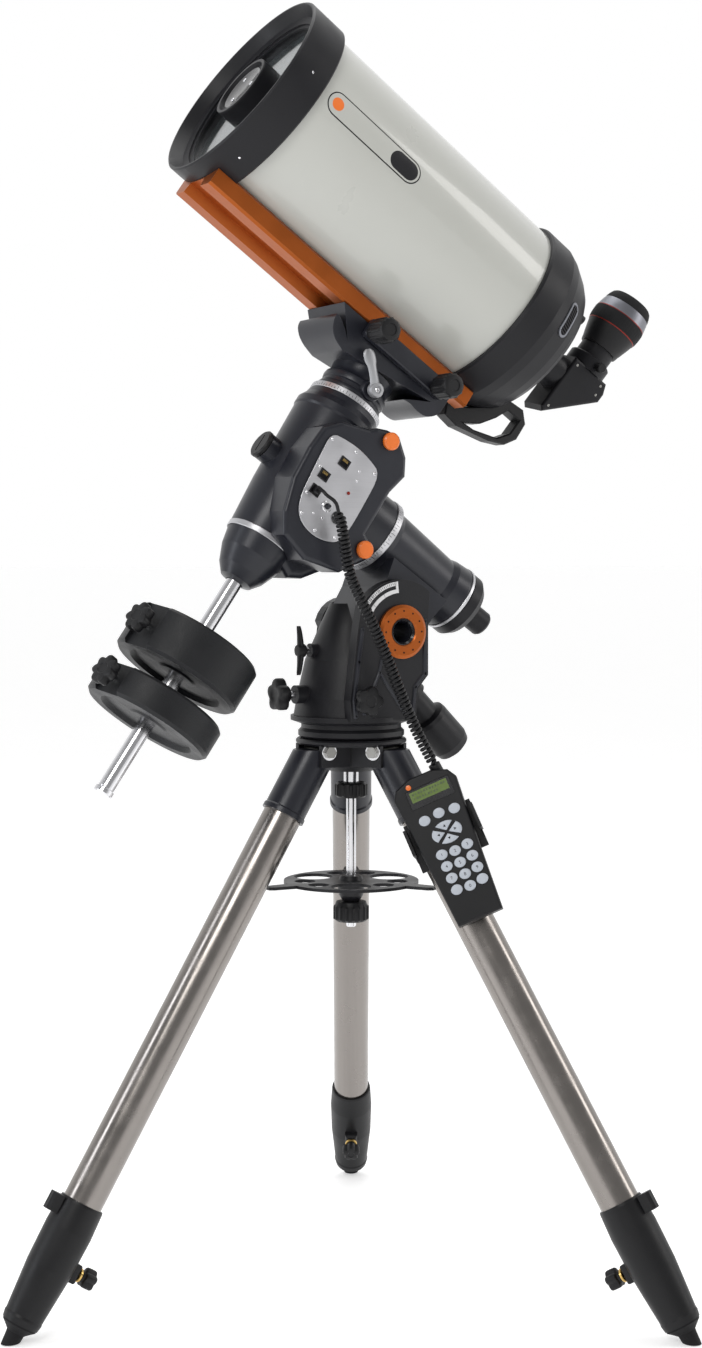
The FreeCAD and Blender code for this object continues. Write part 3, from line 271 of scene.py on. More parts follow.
def finish_mesh(name, mesh_data, body, look, place, smooth=35, bevel=0.0):
    """Turn a bmesh in millimetres into a piece that rides on a body."""
    mesh_data.transform(place @ Matrix.Scale(MM, 4))
    bmesh.ops.recalc_face_normals(mesh_data, faces=mesh_data.faces)
    mesh = bpy.data.meshes.new(name)
    mesh_data.to_mesh(mesh)
    mesh_data.free()
    for polygon in mesh.polygons:
        polygon.use_smooth = True
    mesh.set_sharp_from_angle(angle=math.radians(smooth))
    piece = bpy.data.objects.new(name, mesh)
    bpy.context.scene.collection.objects.link(piece)
    mesh.materials.append(MATERIALS[look])
    if bevel:
        rounding = piece.modifiers.new("rounding", "BEVEL")
        rounding.width = bevel * MM
        rounding.segments = 2
        rounding.limit_method = "ANGLE"
        rounding.angle_limit = math.radians(30)
        rounding.harden_normals = False
    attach(piece, body)
    return piece


def add_lathe(work, profile, steps=96, place=Matrix.Identity(4), radial=None):
    """Revolve (radius, height) points about local Z; radial(angle, radius, height) may change a radius."""
    rings = []
    closed = profile[0][0] > 0 or profile[-1][0] > 0
    for radius, height in profile:
        if radius < 1e-6:
            rings.append([work.verts.new(place @ Vector((0, 0, height)))])
            continue
        ring = []
        for i in range(steps):
            angle = 2 * math.pi * i / steps
            r = radial(angle, radius, height) if radial else radius
            ring.append(work.verts.new(place @ Vector((r * math.cos(angle), r * math.sin(angle), height))))
        rings.append(ring)
    pairs = list(zip(rings, rings[1:]))
    if closed and profile[0][0] > 0 and profile[-1][0] > 0:
        pairs.append((rings[-1], rings[0]))
    for low, high in pairs:
        for i in range(steps):
            j = (i + 1) % steps
            if len(low) == 1 and len(high) > 1:
                work.faces.new((low[0], high[j], high[i]))
            elif len(high) == 1 and len(low) > 1:
                work.faces.new((low[i], low[j], high[0]))
            elif len(low) > 1:
                work.faces.new((low[i], low[j], high[j], high[i]))


def lathe(name, profile, body, look, place, steps=96, bevel=0.0, radial=None):
    work = bmesh.new()
    add_lathe(work, profile, steps, radial=radial)
    return finish_mesh(name, work, body, look, place, bevel=bevel)


def add_prism(work, loop, low, high, place=Matrix.Identity(4)):
    bottom = [work.verts.new(place @ Vector((x, y, low))) for x, y in loop]
    top = [work.verts.new(place @ Vector((x, y, high))) for x, y in loop]
    work.faces.new(bottom[::-1])
    work.faces.new(top)
    for i in range(len(loop)):
        j = (i + 1) % len(loop)
        work.faces.new((bottom[i], bottom[j], top[j], top[i]))


def oval(cx, cy, rx, ry, steps=28, start=0.0, end=360.0, centre=False):
    span = end - start
    count = steps if span >= 360 else steps + 1
    points = [(cx + rx * math.cos(math.radians(start + span * i / steps)),
               cy + ry * math.sin(math.radians(start + span * i / steps))) for i in range(count)]
    return points + [(cx, cy)] if centre else points


def pill(length, width, steps=14):
    radius = width / 2
    straight = length / 2 - radius
    right = oval(straight, 0, radius, radius, steps, -90, 90)
    left = oval(-straight, 0, radius, radius, steps, 90, 270)
    return right + left


def screw_head(work, place, radius=2.4, tall=1.2):
    """A small domed screw with a hexagon socket."""
    add_lathe(work, [(0, -0.4), (radius, -0.4), (radius, tall * 0.5), (radius * 0.75, tall), (radius * 0.5, tall),
                     (radius * 0.45, tall * 0.35), (0, tall * 0.35)], 18, place)


# ---------------------------------------------------------------- handset cord

PLUG_EXIT = HEAD @ (Vector((-8, -94.2, -37)) * MM)
LEAD_BEND = HEAD @ (Vector((-8, -103, -37)) * MM)
LEAD = [(-99, -109, 1026), (-86.5, -112.5, 1018), (-83, -112, 1006)]
COIL = [(-76, -111, 982), (-71.5, -110, 955), (-66, -110, 926), (-51, -111, 896), (-33, -112, 864), (-15, -114, 825),
        (0.5, -116, 787), (15, -119, 751), (28, -124, 720)]
CORD_EXIT = Vector((24, 95, -3)) * MM
CORD_DIAMETER = 0.0046
COIL_RADIUS = 0.00775 - CORD_DIAMETER / 2
COIL_PITCH = 0.0056
POINTS_A_TURN = 12


def nurbs(name, points):
    curve = bpy.data.curves.new(name, "CURVE")
    curve.dimensions = "3D"
    curve.resolution_u = 12
    spline = curve.splines.new("NURBS")
    spline.points.add(len(points) - 1)
    for spot, point in zip(spline.points, points):
        spot.co = (*point, 1)
    spline.order_u = 3
    spline.use_endpoint_u = True
    obj = bpy.data.objects.new(name, curve)
    bpy.context.scene.collection.objects.link(obj)
    return obj


def read_line(obj):
    """The points along a curve's own line."""
    bpy.context.view_layer.update()
    mesh = bpy.data.meshes.new_from_object(obj.evaluated_get(bpy.context.evaluated_depsgraph_get()))
    points = [v.co.copy() for v in mesh.vertices]
    bpy.data.meshes.remove(mesh)
    return points


def walk(points, step):
    """Evenly spaced points and their distances along a line."""
    found, left = [(points[0], 0.0)], step
    travelled = 0.0
    for a, b in zip(points, points[1:]):
        span = (b - a).length
        while left <= span:
            travelled += step
            a = a + (b - a).normalized() * left
            found.append((a.copy(), travelled))
            span = (b - a).length
            left = step
        left -= span
    return found


def make_cord():
    inward = HANDSET.inverted() @ (Vector(COIL[-1]) * MM) - CORD_EXIT
    socket = HANDSET @ (CORD_EXIT + inward.normalized() * 16.2 * MM)
    route_points = [Vector(LEAD[-1]) * MM] + [Vector(p) * MM for p in COIL] + [socket]
    route = nurbs("route", route_points)
    line = read_line(route)
    bpy.data.objects.remove(route)
    step = COIL_PITCH / POINTS_A_TURN
    spots = walk(line, step)
    total = spots[-1][1]
    side = Vector((0, -1, 0))
    points = [PLUG_EXIT, LEAD_BEND] + [Vector(p) * MM for p in LEAD[:-1]]
    for i, (spot, travelled) in enumerate(spots):
        ahead = spots[min(i + 1, len(spots) - 1)][0]
        behind = spots[max(i - 1, 0)][0]
        along = (ahead - behind).normalized()
        side = (side - along * side.dot(along)).normalized()
        other = along.cross(side)
        grown = min(1.0, travelled / 0.008, (total - travelled) / 0.006)
        angle = 2 * math.pi * travelled / COIL_PITCH
        points.append(spot + (side * math.cos(angle) + other * math.sin(angle)) * COIL_RADIUS * max(0.0, grown))
    cord = nurbs("handset_cord", points)
    cord.data.bevel_depth = 1.0
    for point in cord.data.splines[0].points:
        point.radius = CORD_DIAMETER / 2
    cord.data.bevel_resolution = 4
    cord.data.use_fill_caps = True
    cord.data.resolution_u = 3
    cord.data.materials.append(MATERIALS["cord_rubber"])
    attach(cord, "leg_front")
    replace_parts(cord, "cord_lead", "cord_coil")
    measured = read_line_length(cord)


def read_line_length(cord):
    """The length of the cable in metres, along the middle of the curve."""
    thick = cord.data.bevel_depth
    cord.data.bevel_depth = 0
    points = read_line(cord)
    cord.data.bevel_depth = thick
    return round(sum((b - a).length for a, b in zip(points, points[1:])), 3)


make_cord()


def rectangle(x0, y0, x1, y1):
    return [(x0, y0), (x1, y0), (x1, y1), (x0, y1)]


def skin(work, rows):
    """Close a stack of equal loops of vertices with side faces and two ends."""
    work.faces.new(rows[0][::-1])
    work.faces.new(rows[-1])
    for low, high in zip(rows, rows[1:]):
        for k in range(len(low)):
            j = (k + 1) % len(low)
            work.faces.new((low[k], low[j], high[j], high[k]))


def chaikin(loop, times=2):
    for _ in range(times):
        cut = []
        for (x0, y0), (x1, y1) in zip(loop, loop[1:] + loop[:1]):
            cut += [(0.75 * x0 + 0.25 * x1, 0.75 * y0 + 0.25 * y1), (0.25 * x0 + 0.75 * x1, 0.25 * y0 + 0.75 * y1)]
        loop = cut
    return loop


# ---------------------------------------------------------------- silver rings, with their graduations


def ticked_ring(name, body, place, inner, outer, low, high, count, tall):
    """A turned silver ring over the CAD one, with dark engraved lines."""
    lathe(name, [(inner, low), (outer - 0.6, low), (outer, low + 0.6), (outer, high - 0.6), (outer - 0.6, high),
                 (inner, high)], body, "silver_metal", place, 128)
    if not count:
        return
    work = bmesh.new()
    for i in range(count):
        spin = Matrix.Rotation(2 * math.pi * i / count, 4, "Z")
        reach = tall if i % 3 == 0 else tall * 0.55
        start = low + 1.2
        add_prism(work, [(outer - 0.4, -0.28), (outer + 0.06, -0.28), (outer + 0.06, 0.28), (outer - 0.4, 0.28)],
                  start, start + reach, spin)
    finish_mesh(name + "_lines", work, body, "badge_dark", place)


ticked_ring("dec_ring_high_bright", "polar_assembly", HEAD, 50.5, 51.3, 104.4, 112.6, 72, 5.5)
ticked_ring("dec_ring_low_bright", "polar_assembly", HEAD, 46.4, 47.5, -113.5, -105.9, 0, 0)
ticked_ring("setting_ring_bright", "altitude_head", POLAR, 52.4, 53.3, 128.2, 138.05, 72, 6.5)
ticked_ring("rear_ring_bright", "altitude_head", POLAR, 46.4, 47.3, 277.95, 282.55, 0, 0)


def arc_band(work, inner, outer, start, end, low, high, steps):
    """A flat band round part of a circle, between two radii and two angles in degrees."""
    for i in range(steps):
        a = math.radians(start + (end - start) * i / steps)
        b = math.radians(start + (end - start) * (i + 1) / steps)
        loop = [(inner * math.cos(a), inner * math.sin(a)), (outer * math.cos(a), outer * math.sin(a)),
                (outer * math.cos(b), outer * math.sin(b)), (inner * math.cos(b), inner * math.sin(b))]
        add_prism(work, loop, low, high)


def make_latitude_scale():
    """The curved silver scale on the near cheek, with a slot and degree lines."""
    cheek = near_side((PIVOT_X, -79.5, PIVOT_Z))
    work = bmesh.new()
    for inner, outer, start, end, steps in ((50.6, 55.6, 95.5, 149.5, 36), (60.4, 65.4, 95.5, 149.5, 36),
                                            (55.6, 60.4, 95.5, 99, 4), (55.6, 60.4, 146, 149.5, 4)):
        arc_band(work, inner, outer, start, end, -0.2, 0.5, steps)
    bmesh.ops.remove_doubles(work, verts=work.verts, dist=0.001)
    finish_mesh("latitude_scale", work, "azimuth_base", "scale_white", cheek)
    work = bmesh.new()
    for i in range(19):
        angle = 100 + 45 * i / 18
        inner = 61.6 if i % 3 else 60.8
        arc_band(work, inner, 64.6, angle - 0.3, angle + 0.3, 0.45, 0.62, 1)
    finish_mesh("latitude_lines", work, "azimuth_base", "badge_dark", cheek)


make_latitude_scale()


def make_ring_dots():
    """Twelve spanner holes in the near and far altitude rings, drawn as flat dark discs of painted shade, and their
    dark liners.
    """
    for side, label in ((-1, "near"), (1, "far")):
        place = aimed((PIVOT_X, side * 78.35, PIVOT_Z), (0, side, 0), (0, 0, 1))
        work = bmesh.new()
        for i in range(12):
            angle = 2 * math.pi * i / 12
            spot = Matrix.Translation((27 * math.cos(angle), 27 * math.sin(angle), 6.5))
            # Each dot is a thin dark disc of painted shade standing in for the inside of a hole.
            add_lathe(work, [(0, -0.3), (1.3, -0.3), (1.3, 0.06), (0, 0.02)], 14, spot)
        finish_mesh("ring_dots_" + label, work, "altitude_head", "recess_black_and_shade", place)
        lathe("ring_liner_" + label, [(14.05, -30), (14.9, -30), (14.9, 2.0), (17.2, 5.4), (16.4, 5.9), (14.05, 3.2)],
              "altitude_head", "badge_dark", place, 64)


make_ring_dots()

# ---------------------------------------------------------------- hand knobs


def lobed_knob(name, node, body, place, radius, thick, stem, lobes, stem_radius, look="black_plastic"):
    """A moulded hand knob with round lobes and a bright screw."""
    def lobe(angle, r, height):
        share = max(0.0, min(1.0, (r / radius - 0.5) / 0.3))
        wave = 0.5 + 0.5 * math.cos(lobes * angle)
        return r * (1 - 0.24 * share * (1 - wave ** 0.7))

    profile = [(0, -7), (stem_radius + 1.5, -7), (radius * 0.44, -5.5), (radius * 0.5, -2), (radius * 0.62, 0),
               (radius * 0.93, 1.0), (radius * 0.99, 2.6), (radius, thick * 0.5), (radius * 0.99, thick - 2.6),
               (radius * 0.93, thick - 0.8), (radius * 0.75, thick), (radius * 0.42, thick),
               (radius * 0.36, thick - 0.9), (0, thick - 0.9)]
    made = lathe(name + "_grip", profile, body, look, place, 120, radial=lobe)
    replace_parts(made, node)
    lathe(name + "_screw", [(0, -stem), (stem_radius - 0.6, -stem), (stem_radius, -stem + 1), (stem_radius, -6.9),
                            (0, -6.9)], body, "bright_steel", place, 32)


for leg, azimuth in LEGS.items():
    at_boot = leg_frame(azimuth) @ turned(90, "Y", (47, 0, 711))
    lobed_knob("leg_lock_" + leg, "leg_lock_knob_" + leg, "leg_lock_" + leg, at_boot, 13, 16, 24.4, 5, 4)
    lathe("leg_lock_brass_" + leg, [(4.1, -7.6), (8.2, -7.6), (8.8, -7), (8.8, -4.6), (8.2, -4), (4.1, -4)],
          "leg_lock_" + leg, "brass", at_boot, 40)
lobed_knob("azimuth_screw_north", "azimuth_knob_north", "azimuth_knob_a", aimed((-100, 0, 770), (-1, 0, 0)),
           22, 15, 44, 5, 5)
lobed_knob("azimuth_screw_near", "azimuth_knob_near", "azimuth_knob_b", near_side((-30, -92, 765)), 20, 12, 22, 5, 5)
for level, label, screw in ((-369.5, "lower", "weight_low_screw"), (-291, "upper", "weight_high_screw")):
    at_weight = HEAD @ turned(16, "Z") @ turned(-90, "Y", (-91, 0, level))
    lobed_knob("weight_screw_" + label, "weight_knob_" + label, screw, at_weight, 20, 14, 79.6, 7, 4.5)


def ribbed(count, low, high, tall):
    """A radius that grows into rounded ribs between two heights."""
    def grow(angle, radius, height):
        if height < low or height > high:
            return radius
        return radius + tall * max(0.0, math.cos(count * angle)) ** 0.6
    return grow


SADDLE_KNOB = [(0, -12), (5, -12), (5, 0), (9, 2), (9.8, 4), (10, 12), (13.5, 13.6), (15, 16), (15.4, 18), (15.5, 19),
               (15.5, 45), (15.0, 47), (14, 49.2), (11.5, 50), (8, 50), (7.5, 49), (0, 49)]
for label, x in (("front", -48), ("rear", 69)):
    knob = lathe("saddle_grip_" + label, SADDLE_KNOB, "saddle_screw_" + label, "black_plastic",
                 HEAD @ near_side((x, -62.4, 186)), 160, radial=ribbed(10, 18.5, 45.5, 1.5))
    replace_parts(knob, "saddle_knob_" + label)

TRAY_NUT = [(6.6, 469), (19.5, 469), (21.5, 471), (22, 472), (22, 488), (21.5, 490), (19.5, 494.6), (6.6, 494.6)]
ROD_NUT = [(6.6, 632), (18, 632), (20, 634), (20, 635), (20, 649), (20, 650), (18, 652), (6.6, 652)]
FOCUS = [(0, -14), (4, -14), (4, 1.4), (12, 1.4), (13.6, 3), (14.2, 4.5), (14.2, 25), (13.6, 26.5), (12, 28.2),
         (9, 28.5), (8.4, 27.8), (0, 27.8)]
for name, node, body, profile, look, place, steps, ribs in (
        ("tray_nut", "tray_knob", "tray_nut", TRAY_NUT, "black_plastic", Matrix.Identity(4), 192,
         ribbed(16, 471.5, 488.5, 1.8)),
        ("rod_nut", "rod_knob", "rod_nut", ROD_NUT, "black_plastic", Matrix.Identity(4), 192,
         ribbed(12, 634.5, 649.5, 1.8)),
        ("focus_grip", "focus_knob", "focuser", FOCUS, "rubber_grip", TUBE @ shifted(0, 83, 549), 180,
         ribbed(24, 4.4, 25.1, 0.35))):
    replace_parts(lathe(name, profile, body, look, place, steps, radial=ribs), node)


def make_clutch_lever():
    """A cast lever: a round boss with a screw and a tapering, rounded arm."""
    place = HEAD @ near_side((1, -50.3, 131)) @ turned(48, "Z")
    work = bmesh.new()
    add_lathe(work, [(0, 0), (4.5, 0), (4.5, 2), (9, 2.4), (10, 3.4), (10, 11.5), (9, 13), (5.2, 13.6), (5, 12.6),
                     (0, 12.6)], 48)
    rows = []
    for i in range(15):
        y = 4 + 50 * i / 14
        half = 7.6 - 1.6 * math.sin(math.pi * min(1, i / 10)) + (1.1 if i > 8 else 0)
        half *= math.sqrt(max(0.05, 1 - ((i - 12.0) / 2.2) ** 2)) if i > 12 else 1
        mid = 8.4 + 2.2 * math.sin(math.pi * i / 14)
        thick = 3.9 - 1.0 * i / 14
        rows.append([work.verts.new((half * math.cos(t), y, mid + thick * math.sin(t)))
                     for t in (2 * math.pi * k / 16 for k in range(16))])
    skin(work, rows)
    made = finish_mesh("clutch_arm", work, "clutch", "cast_silver", place)
    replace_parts(made, "clutch_lever")
    work = bmesh.new()
    screw_head(work, Matrix.Translation((0, 0, 12.6)), 3.4, 1.6)
    finish_mesh("clutch_screw", work, "clutch", "bright_steel", place)


def make_saddle():
    """The cast saddle: a ringed neck, a waisted body, two jaws and a round pad under the clutch lever."""
    side = HEAD @ near_side((0, 0, 0))
    under = [(-42, 148), (-62, 150), (-86, 157), (-98, 172), (-98, 186)]
    rear = [(103, 186), (102, 168), (92, 156), (76, 153), (58, 156), (42, 151)]
    loop = chaikin(under, 2)[2:-2] + [(-98, 199.6), (102, 199.6)] + chaikin(rear, 2)[2:-2]
    work = bmesh.new()
    add_prism(work, loop, -49.6, 49.6)
    for v in work.verts:
        share = max(0.0, min(1.0, (v.co.y - 146) / 26))
        v.co.z *= 0.80 + 0.20 * share
    body = finish_mesh("saddle_cast", work, "declination", "mount_gunmetal", side, bevel=4.0)
    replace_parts(body, "saddle")
    jaws = bmesh.new()
    for low, high in ((-62, -50.6), (50.6, 62)):
        add_prism(jaws, [(-55, 182), (-50, 179), (84, 179), (89, 182), (89, 205), (-55, 205)], low, high)
        inner = (-51, -44) if low < 0 else (44, 51)
        add_prism(jaws, rectangle(-52, 181, 86, 199.5), *inner)
    finish_mesh("saddle_jaws", jaws, "declination", "mount_gunmetal", side, bevel=2.0)
    lathe("saddle_neck", [(0, 113.0), (45.5, 113.0), (46.4, 114.5), (46.6, 119), (45.6, 121.5), (43.4, 122.5),
                          (43.2, 127.5), (45.2, 129), (46, 133), (45.4, 137), (43, 139.5), (42, 145), (42.6, 152),
                          (44, 158), (0, 158)], "declination", "mount_gunmetal", HEAD, 128)
    lathe("lever_pad", [(0, -2), (14.5, -2), (14.5, 18), (13.2, 20.4), (0, 20.6)], "declination",
          "mount_gunmetal", HEAD @ near_side((1, -29, 131)), 64)


make_saddle()


def soften(node, width, segments=3, angle=28):
    """Rounds the crisp edges of a casting."""
    made = NODES[node].modifiers.new("soft_edges", "BEVEL")
    made.width = width * MM
    made.segments = segments
    made.limit_method = "ANGLE"
    made.angle_limit = math.radians(angle)
    made.harden_normals = True


for casting, width in (("base_casting", 2.0), ("electronics_cover", 2.6), ("tripod_hub", 1.2), ("dovetail_bar", 0.8),
                       ("polar_housing", 1.5), ("star_diagonal", 1.5), ("spreader_tray", 0.6), ("handset_shell", 1.5),
                       ("handset_holder", 1.0), ("carry_handle", 4.0)):
    soften(casting, width)

make_clutch_lever()


def make_lock_lever():
    """The T-shaped lock lever on its bright rod, with thin rounded wings."""
    place = aimed((-66, 0, 827), (-1, 0, 0))
    work = bmesh.new()
    add_lathe(work, [(0, 4), (7.5, 4), (8.5, 5), (8.5, 13), (7, 15.5), (0, 16.5)], 40)
    for side in (-1, 1):
        rows = []
        for i in range(13):
            share = i / 12
            x = side * 32 * share
            half = (7.2 - 3.4 * share) * (math.sqrt(max(0.08, 1 - ((share - 0.85) / 0.15) ** 2)) if share > 0.85 else 1)
            thick = 4.2 - 1.4 * share
            rows.append([work.verts.new((x, half * math.cos(t), 10 + 3.0 * share ** 2 + thick * math.sin(t)))
                         for t in (2 * math.pi * k / 16 for k in range(16))])
        skin(work, rows)
    made = finish_mesh("lock_wings", work, "lock_lever", "black_plastic", place)
    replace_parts(made, "altitude_lock_lever")
    lathe("lock_rod", [(0, -42), (4.6, -42), (5, -41), (5, 4.2), (0, 4.2)], "lock_lever",
          "bright_steel", place, 32)


make_lock_lever()

# ---------------------------------------------------------------- optical tube


def wrapped_pill(name, body, look, spot, length, width, height, run=48, across=10):
    """A pill-shaped plate laid on a curved surface: spot(along, across, up) gives a point in millimetres."""
    radius = width / 2
    straight = length / 2 - radius
    work = bmesh.new()
    tops, bottoms = [], []
    for i in range(run + 1):
        x = -length / 2 * math.cos(math.pi * i / run)
        over = max(0.0, abs(x) - straight)
        half = math.sqrt(max(0.0004, radius * radius - over * over))
        ys = [half * (2 * k / across - 1) for k in range(across + 1)]
        tops.append([work.verts.new(spot(x, y, height)) for y in ys])
        bottoms.append([work.verts.new(spot(x, y, -0.5)) for y in ys])
    for rows in (tops, bottoms):
        for low, high in zip(rows, rows[1:]):
            for k in range(across):
                work.faces.new((low[k], low[k + 1], high[k + 1], high[k]))
    for i in range(run):
        for k in (0, across):
            work.faces.new((tops[i][k], tops[i + 1][k], bottoms[i + 1][k], bottoms[i][k]))
    for i in (0, run):
        for k in range(across):
            work.faces.new((tops[i][k], tops[i][k + 1], bottoms[i][k + 1], bottoms[i][k]))
    return finish_mesh(name, work, body, look, TUBE)


def on_tube(centre, around, radius=129.0):
    """Plate coordinates to the tube: along the tube, then round it."""
    def spot(x, y, up):
        angle = math.radians(around) + y / radius
        r = radius + up
        return Vector((-r * math.cos(angle), -r * math.sin(angle), centre + x))
    return spot


wrapped_pill("badge_rim", "telescope", "badge_dark", on_tube(147, 86.5), 160, 33, 0.12)
wrapped_pill("badge_field", "telescope", "tube_paint", on_tube(147, 86.5), 156.6, 29.6, 0.2)
wrapped_pill("badge_dot", "telescope", "orange_plastic", on_tube(82.5, 86.5), 17, 16.6, 0.3)
wrapped_pill("badge_end", "telescope", "badge_dark", on_tube(200, 86.5), 45, 25, 0.3)


def on_cone(around, r0, u0, fall):
    """Plate coordinates to a cone: round it, then down its slope."""
    slope = Vector((-fall, 1)).normalized()
    def spot(x, y, up):
        angle = math.radians(around) + x / r0
        r = r0 + y * slope.x + up * slope.y
        return Vector((-r * math.cos(angle), -r * math.sin(angle), u0 + y * slope.y - up * slope.x))
    return spot


for around, label in ((86, "near"), (-94, "far")):
    spot = on_cone(around, 125.4, 516, 0.5)
    wrapped_pill("vent_frame_" + label, "telescope", "grey_band", spot, 54, 20, 1.6)
    # The vent mesh: its own dark colour with painted shade for the hollow behind it.
    wrapped_pill("vent_mesh_" + label, "telescope", "recess_black_and_shade", spot, 47, 13.5, 1.75)
    work = bmesh.new()
    for i in range(11):
        x = -20 + 4 * i
        skin(work, [[work.verts.new(spot(bx, by, up)) for bx, by in rectangle(x - 0.5, -6.2, x + 0.5, 6.2)]
                    for up in (1.6, 2.1)])
    finish_mesh("vent_bars_" + label, work, "telescope", "cell_black", TUBE)


def make_cell_hardware():
    """The small grub screws round the front cell, the corrector's retaining ring and the secondary's cover."""
    work = bmesh.new()
    for i in range(6):
        angle = 2 * math.pi * (i + 0.42) / 6
        turn = Matrix.Rotation(angle, 4, "Z") @ Matrix.Translation((138, 0, 30)) @ Matrix.Rotation(
            math.pi / 2, 4, "Y")
        screw_head(work, turn, 1.6, 0.6)
    finish_mesh("cell_screws", work, "telescope", "bright_steel", TUBE)
    lathe("corrector_retainer", [(112.5, 21.2), (116.9, 20.6), (116.9, 23.9), (112.5, 23.9)], "telescope",
          "cell_black", TUBE, 160)
    lathe("secondary_cover", [(0, 5.4), (28, 5.4), (30, 4.6), (33, 4.6), (34, 5.8), (38, 6.2), (38.2, 7.9), (0, 7.9)],
          "telescope", "badge_dark", TUBE, 96)
    work = bmesh.new()
    for i in range(3):
        angle = 2 * math.pi * i / 3 + 0.4
        screw_head(work, Matrix.Translation((20 * math.cos(angle), 20 * math.sin(angle), 5.5))
                   @ Matrix.Rotation(math.pi, 4, "X"), 3.0, 1.2)
    finish_mesh("collimation_screws", work, "telescope", "bright_steel", TUBE)
    # The baffle's mouth: its own black with painted shade down the tube.
    lathe("baffle_mouth", [(23.2, 326), (25.4, 326), (25.6, 334), (24.6, 336), (24.6, 331)], "telescope",
          "recess_black_and_shade", TUBE, 64)


make_cell_hardware()

# ---------------------------------------------------------------- eyepiece and diagonal


EYEPIECE_STACK = (
    ("eyepiece_barrel", [(0, 14), (25.2, 14), (25.34, 15), (25.34, 66), (0, 66)], "cell_black", "cell_black", 96, None),
    ("eyepiece_body", [(0, 66.0), (28, 66.2), (28.6, 68), (29.5, 72), (31.5, 78), (35.2, 91), (36.8, 97.2),
                       (37.0, 97.3), (0, 97.3)], "black_plastic", "black_plastic", 128, None),
    ("eyepiece_red_low", [(30, 97.3), (37.35, 97.3), (37.7, 98.5), (30, 98.5)], "orange_anodised", "red_ring", 128,
     None),
    ("eyepiece_grip", [(0, 98.5), (37.6, 98.5), (38.3, 101), (38.9, 105), (39.2, 110), (39.2, 116.5), (38.9, 118.8),
                       (0, 118.8)], "black_plastic", "rubber_grip", 160, ribbed(48, 100.5, 117, 0.25)),
    ("eyepiece_red_high", [(30, 118.8), (38.95, 118.8), (38.7, 120), (30, 120)], "orange_anodised", "red_ring", 128,
     None),
    ("eyepiece_band", [(30, 120), (38.7, 120), (37.8, 125), (36.4, 131.5), (35.5, 134.6), (30, 134.6)],
     "silver_metal", "grey_band", 128, None),
    ("eyepiece_cup", [(24, 134.6), (35.4, 134.6), (35.2, 137), (33.6, 142), (31.4, 146.8), (29, 149), (26.5, 148.8),
                      (24.6, 146), (23.4, 141)], "black_plastic", "rubber_grip", 128, None),
    ("eye_lens", [(0, 140.6), (12, 140), (23.6, 137.6), (23.6, 136), (0, 136)], "corrector_glass", "badge_dark", 96,
     None),
)


def make_eyepiece():
    """The barrel, body, rings, grip, eye cup and lens, and the small screws of the diagonal."""
    for name, profile, slot, look, steps, ribs in EYEPIECE_STACK:
        made = lathe(name, profile, "ocular", look, EYEPIECE, steps, radial=ribs)
        if name == "eyepiece_barrel":
            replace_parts(made, "eyepiece")
    work = bmesh.new()
    for x, z in ((252, 22), (252, -48), (302, 8), (300, 22)):
        for side in (-1, 1):
            turn = Matrix.Rotation(math.radians(-90 * side), 4, "X")
            screw_head(work, Matrix.Translation((x, side * 28, z)) @ turn, 1.8, 0.6)
    finish_mesh("diagonal_screws", work, "diagonal", "bolt_steel", DIAGONAL)
    lathe("collar_screw_grip", [(0, 0), (3, 0), (3, 5), (6.2, 5.5), (6.4, 6.5), (6.4, 15), (5.6, 16), (0, 16)],
          "diagonal", "black_plastic",
          DIAGONAL @ near_side((277, -30.5, 38)), 96, radial=ribbed(18, 6, 15.2, 0.3))


make_eyepiece()

# ---------------------------------------------------------------- handset


